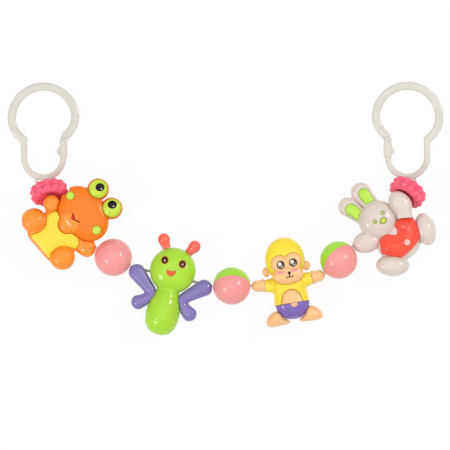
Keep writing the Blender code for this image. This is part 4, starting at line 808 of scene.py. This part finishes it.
RABBIT_SIZE, RABBIT_MATRIX = 76.0, standing(122.314, -9.356, 0, 45.0)
RABBIT_HAND_HEIGHT = 21.875
RABBIT_HEAD = ("oval", 0.0, 0.0, 0.208, 0.208, 0)
RABBIT_LOBES = (
    (RABBIT_HEAD, 1.0, 0.94),
    (("oval", 0.013, -0.29, 0.25, 0.23, 0), 0.99, 0.62),
    (("oval", -0.246, -0.078, 0.156, 0.113, 152), 0.70, 0.66),
    (("oval", 0.283, -0.417, 0.174, 0.110, 59.5), 0.80, 0.80),
    (("oval", -0.228, -0.443, 0.178, 0.115, -45), 0.79, 0.79),
)
RABBIT_EARS = {"right": ("taper", 0.063, 0.158, 0.083, 0.076, 0.334, 0.107),
               "left": ("taper", -0.102, 0.150, 0.079, -0.126, 0.320, 0.105)}
RABBIT_HAND = ("oval", 0.290, -0.034, 0.108, 0.140, 0)
RABBIT_SHOULDER = ("taper", 0.278, -0.05, 0.09, 0.21, -0.20, 0.08)
RABBIT_EAR_PLATES = {"right": ("taper", 0.066, 0.165, 0.050, 0.086, 0.303, 0.060),
                     "left": ("taper", -0.104, 0.150, 0.050, -0.125, 0.283, 0.062)}
RABBIT_NOSE = ("oval", 0.030, -0.037, 0.034, 0.030, 0)
RABBIT_HEART = ("loop", (0.022, -0.240), (0.066, -0.212), (0.082, -0.160), (0.123, -0.140), (0.175, -0.152),
                (0.225, -0.192), (0.262, -0.232), (0.266, -0.285), (0.205, -0.400), (0.168, -0.441),
                (0.098, -0.458), (-0.075, -0.456), (-0.122, -0.424), (-0.220, -0.288), (-0.208, -0.242),
                (-0.140, -0.162), (-0.090, -0.156), (-0.037, -0.178))
RABBIT_EYES = ((-3.0, 1.3), (6.4, 1.9))
HEART_FLOOR = 0.40


def make_rabbit():
    mould, halves, stamp = tools_for("rabbit", RABBIT_MATRIX)
    size, box = RABBIT_SIZE, ((-29, -46, -1), (30, 34, 31))
    high, reach = RABBIT_HAND_HEIGHT, RABBIT_HAND[3] * RABBIT_SIZE
    arm = [swell(scaled(RABBIT_HAND, size), high - reach, high, high + reach),
           swell(scaled(RABBIT_SHOULDER, size), drop(0.40), high, high + 0.9 * reach)]
    lobes = [lobe(spec, size, down, up, power=2.4) for spec, down, up in RABBIT_LOBES]
    ears = [lobe(spec, size, 0.5, 0.46) for spec in RABBIT_EARS.values()]
    whole = join([join(lobes[:1] + ears, 0.8), join(lobes[1:], 1.0), join(arm, 2.0)], 0.8)
    whole = less(whole, scoop(RIGHT_DISC_CENTRE, RIGHT_DISC_AXIS, RABBIT_MATRIX),
                 ball_at_limit(92.73, -42.97, RABBIT_MATRIX), blend=0.5)
    plates = {word: seated(scaled(spec, size), 0.22, 0.38, 0.54) for word, spec in RABBIT_EAR_PLATES.items()}
    nose, nose_seat = seated(scaled(RABBIT_NOSE, size), 0.76, 0.92, 1.08)
    heart_seat = prism(scaled(RABBIT_HEART, size, 5.0), rise(HEART_FLOOR), FIT)

    def clear_of_head(field, grow):
        return less(field, prism(scaled(RABBIT_HEAD, size), -9, grow))
    shell = less(whole, heart_seat, nose_seat, *[clear_of_head(seat, 0) for _, seat in plates.values()], blend=0.25)
    halves(shell, whole, box, "grey")
    heart = heart_block()
    mould("heart_block", heart, ((-18, -36, 20), (22, -9, 30)), "coral_red", "heart", step=0.4)
    mould("nose_dot", nose, ((-1, -6, 24), (6, 0, 31)), "lime", "nose", step=0.3)
    for word, (plate, _) in plates.items():
        box = ((0, 11, 17), (12, 30, 24)) if word == "right" else ((-15, 10, 17), (-3, 28, 24))
        mould(f"ear_insert_{word}", clear_of_head(plate, FIT), box, "leaf", f"ear_plate_{word}", step=0.4)
    for number, (u, v) in enumerate(RABBIT_EYES, 1):
        stamp(f"eye_{number}", whole, hoop(u, v, 1.4, 1.1), (u, v, 2.6), "eye_ring")
        stamp(f"eye_core_{number}", whole, dot(u, v, 0.95, 0.95), (u, v, 1.8), "eye_core", lift=0.05)
    u, v, reach_u, reach_v = (value * size for value in RABBIT_NOSE[1:5])
    inner = dot(u, v, reach_u - 0.75, reach_v - 0.75)
    stamp("nose_rim", nose, lambda x, y: -inner(x, y), (u, v, 3.2), "nose_rim", lift=0.04)
    stamp("heart_spot", heart, dot(3.7, -28.6, 2.4, 2.4), (3.7, -28.6, 3.2), "spot")


def heart_block():
    """Heart whose top slopes up from its rim and levels out."""
    ring = smooth_loop([(u * RABBIT_SIZE, v * RABBIT_SIZE) for u, v in RABBIT_HEART[1:]], 6)
    floor, side, crown, slope_width = rise(HEART_FLOOR) + FIT, rise(0.60), rise(1.0), 7.5

    def field(x, y, z):
        inward = -distance_to(ring, x, y)
        share = np.clip(inward / slope_width, 0, 1)
        slope = side + (crown - side) * share * (1.5 - 0.5 * share)
        return np.maximum(soft_max(-inward, (z - slope) * 0.85, 0.4), floor - z)
    return field


# Balls

WALL, PELLET_RADIUS, PELLET_ASIDE, HALF_ROUNDING = 1.6, 2.0, 2.3, 0.12
BALLS = ((1, (-89.63, -39.15), 151.5, 0.0), (2, (5.09, -62.05), 0.0, 54.0), (3, (90.67, -41.24), 45.0, 56.0))


def make_ball(number, place, heading, roll):
    """Two halves with the cord's holes, rolled about the cord, and two pellets that lie at the bottom."""
    frame, body, inner = standing(*place, SEAM, heading), f"ball_{number}", BALL_RADIUS - WALL
    rolled = frame @ Matrix.Rotation(math.radians(roll), 4, "X")
    shell = less(globe(0, 0, 0, BALL_RADIUS), globe(0, 0, 0, inner), rod([(-20, 0, 0), (20, 0, 0)], CORD_BORE),
                 blend=0.2)
    for word, side, finish in (("pink", 1, "soft_pink"), ("green", -1, "ball_green")):
        def half(x, y, z, side=side):
            return soft_max(shell(x, y, z), 0.03 - side * z, HALF_ROUNDING)
        low, high = sorted((0, side * 15))
        moulded(f"{body}_{word}", half, around(0, 0, 15, low, high), rolled, PLASTIC[finish], body,
                f"{body}_{word}_half", step=0.5)
    reach = inner - GAP - PELLET_RADIUS
    for index, side in ((1, -1), (2, 1)):
        lean = math.asin(PELLET_ASIDE / reach) * side
        v, w = reach * math.sin(lean), -reach * math.cos(lean)
        box = around(0, v, PELLET_RADIUS, w - PELLET_RADIUS, w + PELLET_RADIUS)
        moulded(f"{body}_bead_{index}", globe(0, v, w, PELLET_RADIUS), box, frame, PLASTIC["off_white"], body,
                f"{body}_pellet_{index}", step=0.4)


# Knobbly discs

DISC_LOBES, DISC_LOBE_DEPTH, DISC_WAIST = 12, 2.3, 1.4


def make_disc(side, centre, axis):
    """Disc with two rows of knobs round its rim, a dish for the figure's hand and the cord's hole."""
    half = DISC_THICKNESS / 2

    def body(x, y, z):
        turn, wide = np.arctan2(y, x), np.hypot(x, y)
        crest = np.abs(np.cos(DISC_LOBES * turn / 2)) ** 0.8
        bulge = 1 - np.abs(np.clip(np.abs(z) / half, 0, 1) * 2 - 1) ** 2.2
        waist = DISC_WAIST * (1 - bulge) * np.clip((wide - 8) / 4, 0, 1)
        radius = DISC_RADIUS - DISC_LOBE_DEPTH * (1 - crest) - waist
        edge = ((wide / radius) ** 5 + (np.abs(z) / half) ** 5) ** (1 / 5)
        return (edge - 1) * np.hypot(wide, z) / np.maximum(edge, TINY) * 0.8
    disc = less(body, dish(), rod([(0, 0, -9), (0, 0, 9)], CORD_BORE), blend=0.8)
    moulded(f"disc_{side}_knobs", disc, around(0, 0, DISC_RADIUS + 0.1, -half, half), disc_frame(centre, axis),
            PLASTIC["pink"], f"disc_{side}", f"knobbly_disc_{side}", step=0.4)


# Clips, drawn with the gate on the right and mirrored for the other end

CLIP_THICKNESS, RING_RADIUS, RING_BAND = 5.4, 25.52, 6.6
# In degrees from the ring's foot: its start and end, how far each end is drawn in along it, and its tip, which
# lies at this share of the radius
RING_START, RING_END, RING_EASE, TIP_TURN, TIP_REACH = 44, 308, 42, 43, 0.93
LEG_BAND, LEG_HALF, LEG_CENTRE, LEG_RISE = 4.9, 15.7, -31.62, 10.6
PIN, PIN_RADIUS, PIN_BORE = (16.0, -18.0), 1.0, 1.25
GATE_LENGTH, GATE_WIDTH = 13.8, 6.4
BAR_LEVEL, BAR_HEIGHT, BAR_RADIUS = -53.77, 4.2, 1.1
BAR_HALF, BAR_BEND, BAR_CHAMFER = 6.0, 2.2, 0.66
ARM_TOP, TONGUE_HALF = -32.47, 0.9
SECTION_POWER = 3.4


def bar_section(line, band):
    """Moulded bar along a line on the table, with well rounded edges."""
    middle = CLIP_THICKNESS / 2

    def field(x, y, z):
        across = np.abs(distance_to(line, x, y, closed=False)) / (band / 2)
        up = np.abs(z - middle) / middle
        total = (across ** SECTION_POWER + up ** SECTION_POWER) ** (1 / SECTION_POWER)
        depth = np.where(total < 0.05, 20 * middle * total, np.hypot(across * band / 2, up * middle))
        return (total - 1) * depth / np.maximum(total, TINY)
    return field


def slab(low, high):
    def field(x, y, z):
        return np.maximum(np.maximum(low[0] - x, x - high[0]), np.maximum(low[1] - y, y - high[1]))
    return between(field, low[2], high[2])


def upright_bar(place, radius, low, high):
    return between(lambda x, y, z: np.hypot(x - place[0], y - place[1]) - radius, low, high)


def clip_lines():
    """Middle lines of the ring, drawn in at both ends, and of the leg under it that carries the latch."""
    turns = np.linspace(RING_START, RING_END, 60)
    inward = (2.0 * np.clip((RING_START + RING_EASE - turns) / RING_EASE, 0, 1) ** 1.5
              + 3.1 * np.clip((turns - RING_END + RING_EASE) / RING_EASE, 0, 1) ** 1.4)
    turns, reach = np.radians(turns), RING_RADIUS - inward
    ring = np.stack([-reach * np.sin(turns), -reach * np.cos(turns)], axis=1)
    tip, far = math.radians(TIP_TURN), TIP_REACH * RING_RADIUS
    ring = np.vstack([ring, [(far * math.sin(tip), -far * math.cos(tip))]])
    start = math.asin((LEG_CENTRE - ARM_TOP) / LEG_HALF)
    turns = -start - (math.pi - start) * np.linspace(0, 1, 30)
    leg = np.stack([LEG_HALF * np.cos(turns), LEG_CENTRE + LEG_HALF * np.sin(turns)], axis=1)
    return ring, np.vstack([leg, [(-LEG_HALF, LEG_CENTRE + LEG_RISE), tuple(ring[0])]])


def eyelet():
    """Bar under the leg that the cord is tied to."""
    root = LEG_CENTRE - math.sqrt(LEG_HALF ** 2 - BAR_HALF ** 2)
    side = [(BAR_HALF, root), (BAR_HALF, BAR_LEVEL + BAR_BEND),
            (BAR_HALF - BAR_CHAMFER, BAR_LEVEL + BAR_CHAMFER), (BAR_HALF - BAR_BEND, BAR_LEVEL)]
    return rod([(-u, v, BAR_HEIGHT) for u, v in side] + [(u, v, BAR_HEIGHT) for u, v in reversed(side)], BAR_RADIUS)


def clip_frame():
    ring, leg = clip_lines()
    middle, knuckle = CLIP_THICKNESS / 2, GATE_WIDTH / 2 + GAP
    low, high = middle - TONGUE_HALF, middle + TONGUE_HALF
    solid = join([bar_section(ring, RING_BAND), bar_section(leg, LEG_BAND)], 1.2)
    solid = between(solid, low=0.0, high=CLIP_THICKNESS)
    solid = less(solid, upright_bar(PIN, knuckle, -9, 9),
                 slab((PIN[0] - knuckle, PIN[1] - GATE_LENGTH / 2, -9), (PIN[0] + knuckle, PIN[1], 9)), blend=0.3)
    inner = PIN[0] - GATE_WIDTH / 2 + 1.6
    tongue = between(prism(taper(*PIN, 2.56, 17.2, -17.4, 1.6), low), high=high)
    latch = slab((inner, ARM_TOP - 1.3, low), (inner + 3.2, PIN[1] - GATE_LENGTH + 5.0, high))
    return less(join([solid, tongue, latch, eyelet()], 0.4), upright_bar(PIN, PIN_BORE, -9, 9), blend=0.2)


def clip_gate():
    """Lever with a fork for the pin, a slot for the tongue and the latch, and a thumb tab."""
    middle, half = CLIP_THICKNESS / 2, GATE_WIDTH / 2
    end = PIN[1] - GATE_LENGTH
    gate = swell(taper(*PIN, half, PIN[0], end, half), 0.0, middle - 0.4, CLIP_THICKNESS, top=middle + 0.4, power=3.2)
    tab = between(prism(oval(PIN[0] - half, end + 5.5, 2.2, 2.8), middle - 1.3), high=middle + 1.3)
    slot = slab((PIN[0] - half + 1.3, end - 5, middle - 1.2), (PIN[0] + half + 5, end + 5.9, middle + 1.2))
    gate = less(join([gate, tab], 0.6), slot, upright_bar(PIN, half + 0.9, middle - 1.2, middle + 1.2),
                upright_bar(PIN, PIN_BORE, -9, 9), blend=0.2)
    return lambda x, y, z: soft_max(gate(x, y, z), end - y, 0.4)


def make_clip(side, ring_centre):
    mirror = Matrix.Scale(-1, 4, (1, 0, 0)) if side == "right" else Matrix()
    place = Matrix.Translation((*ring_centre, 0)) @ mirror
    clip, pin = f"clip_{side}", upright_bar(PIN, PIN_RADIUS, 0.25, 5.15)
    for word, field, box, body, step in (
            ("frame", clip_frame(), ((-29.5, -56.5, 0), (29.5, 29.5, 5.5)), clip, 0.5),
            ("gate", clip_gate(), ((9, -35.5, 0), (20, -14, 5.5)), f"gate_{side}", 0.5),
            ("gate_pin", pin, ((14.5, -19.5, 0), (17.5, -16.5, 5.4)), clip, 0.3)):
        obj = moulded(f"{clip}_{word}_look", field, box, place, PLASTIC["off_white"], body, f"{clip}_{word}",
                      step=step)
        if side == "right":
            obj.data.flip_normals()


# Cord

BALL_CORD_HALF, BEE_CORD, MONKEY_CORD = 15.4, -4.8, (30.06, -15.53)
KNOT_RISE, KNOT_RADIUS, LOOP_RADIUS = 3.9, 1.9, 2.9


def stretch(name, points, matrix, body):
    """Cord through a piece, ending a little inside both of its ends."""
    path = [Vector(point) for point in points]
    path[0] += (path[1] - path[0]).normalized() * CORD_INSET
    path[-1] -= (path[-1] - path[-2]).normalized() * CORD_INSET
    low = [min(p[i] for p in path) - 1.2 for i in range(3)]
    high = [max(p[i] for p in path) + 1.2 for i in range(3)]
    moulded(f"{name}_braid", rod(path, CORD_RADIUS), (low, high), matrix, CORD, body, name, step=0.4)


def cord_end(side, start, centre, axis, bar):
    """Cord from a figure through its disc, tied in a loop round the clip's eyelet."""
    start, centre, axis, bar = Vector(start), Vector(centre), Vector(axis), Vector(bar)
    far, knot = centre - axis * DISC_THICKNESS / 2, Vector((bar.x, bar.y, bar.z + KNOT_RISE))
    first = start + (centre - start).normalized() * CORD_INSET
    stem = rod([first, centre, far, far - axis * 1.6, knot], CORD_RADIUS)

    def loop_ring(x, y, z):
        return np.hypot(np.hypot(y - bar.y, z - bar.z) - LOOP_RADIUS, x - bar.x) - CORD_RADIUS
    low = (min(bar.x - 2.2, centre.x - 4, start.x - 1), min(start.y, bar.y - 4) - 1.2, -0.1)
    high = (max(bar.x + 2.2, centre.x + 4, start.x + 1), bar.y + 4.2, 19.2)
    moulded(f"cord_end_{side}_braid", join([stem, loop_ring, globe(*knot, KNOT_RADIUS)], 0.4), (low, high), Matrix(),
            CORD, f"cord_tail_{side}", f"cord_end_{side}", step=0.35)


def make_cords():
    for number, place, heading, _ in BALLS:
        stretch(f"cord_ball_{number}", [(-BALL_CORD_HALF, 0, 0), (BALL_CORD_HALF, 0, 0)],
                standing(*place, SEAM, heading), f"strand_ball_{number}")
    # The bee's cord comes out where its line meets the round tip of the upper wing
    tip = (0.3425 + math.sqrt(0.085 ** 2 - 0.040 ** 2)) * BEE_SIZE + 0.4
    stretch("cord_bee", [(-tip, BEE_CORD, SEAM), (tip, BEE_CORD, SEAM)], BEE_MATRIX, "bee")
    u, v = MONKEY_CORD
    stretch("cord_monkey", [(-u, v, SEAM), (u, v, SEAM)], MONKEY_MATRIX, "monkey")
    stretch("cord_frog", FROG_ROUTE, FROG_MATRIX, "frog")
    stretch("cord_rabbit", RABBIT_ROUTE, RABBIT_MATRIX, "rabbit")
    for end in ENDS:
        cord_end(*end)


# Stage

FLOOR_GLOW, WORLD_LIGHT, AIM = 0.93, 0.54, (0, -0.01, 0)
# Name, place, size in metres and power of each light
LIGHTS = (("overhead", (-0.1, 0.1, 2.35), 2.4, 16.0), ("key", (0.89, 0.38, 0.87), 0.26, 4.8),
          ("fill", (-0.87, -0.51, 0.82), 0.26, 4.2))


def add_light(name, place, wide, power):
    data = bpy.data.lights.new(name, "AREA")
    data.shape, data.size, data.size_y, data.energy = "RECTANGLE", wide, wide, power
    lamp = bpy.data.objects.new(name, data)
    lamp.location = place
    lamp.rotation_euler = (Vector(AIM) - Vector(place)).to_track_quat("-Z", "Y").to_euler()
    bpy.context.scene.collection.objects.link(lamp)


def make_floor():
    """White paper that glows for the camera and in the plastics' mirroring, and lights nothing else."""
    corners = np.array([(-3, -3, 0), (3, -3, 0), (3, 3, 0), (-3, 3, 0)], float)
    floor = new_mesh("floor", corners, np.arange(4)[None])
    floor.location.z = -0.0002
    look, tree, shader = new_look("paper_floor")
    feed(tree, shader, {"Base Color": (0.95, 0.95, 0.95, 1), "Roughness": 0.9})
    path = add_node(tree, "LightPath", {})
    seen = path["Is Camera Ray"]
    for word in ("Is Glossy Ray", "Is Transmission Ray"):
        seen = add_node(tree, "Math", {0: seen, 1: path[word]}, operation="MAXIMUM")[0]
    share = add_node(tree, "Math", {0: seen, 1: FLOOR_GLOW}, operation="MULTIPLY")[0]
    mix = add_node(tree, "MixShader", {0: share, 1: shader.outputs[0], 2: add_node(tree, "Emission", {})[0]})
    feed(tree, tree.nodes["Material Output"], {"Surface": mix[0]})
    floor.data.materials.append(look)


def make_stage():
    make_floor()
    world = bpy.data.worlds.new("studio")
    world.use_nodes = True
    background = world.node_tree.nodes["Background"]
    background.inputs["Color"].default_value = (1, 1, 1, 1)
    background.inputs["Strength"].default_value = WORLD_LIGHT
    bpy.context.scene.world = world
    for light in LIGHTS:
        add_light(*light)
    camera = bpy.data.cameras.new("camera")
    camera.lens, camera.clip_end = 500.0, 10
    holder = bpy.data.objects.new("camera", camera)
    holder.location = (-0.00032, -0.0132, 5.015)
    bpy.context.scene.collection.objects.link(holder)
    bpy.context.scene.camera = holder
    bpy.context.scene.view_settings.view_transform = "Standard"


make_frog()
make_bee()
make_monkey()
make_rabbit()
for row in BALLS:
    make_ball(*row)
for side, _, centre, axis, _ in ENDS:
    make_disc(side, centre, axis)
make_clip("left", (-145.791, 72.234))
make_clip("right", (146.097, 72.859))
make_cords()
make_stage()
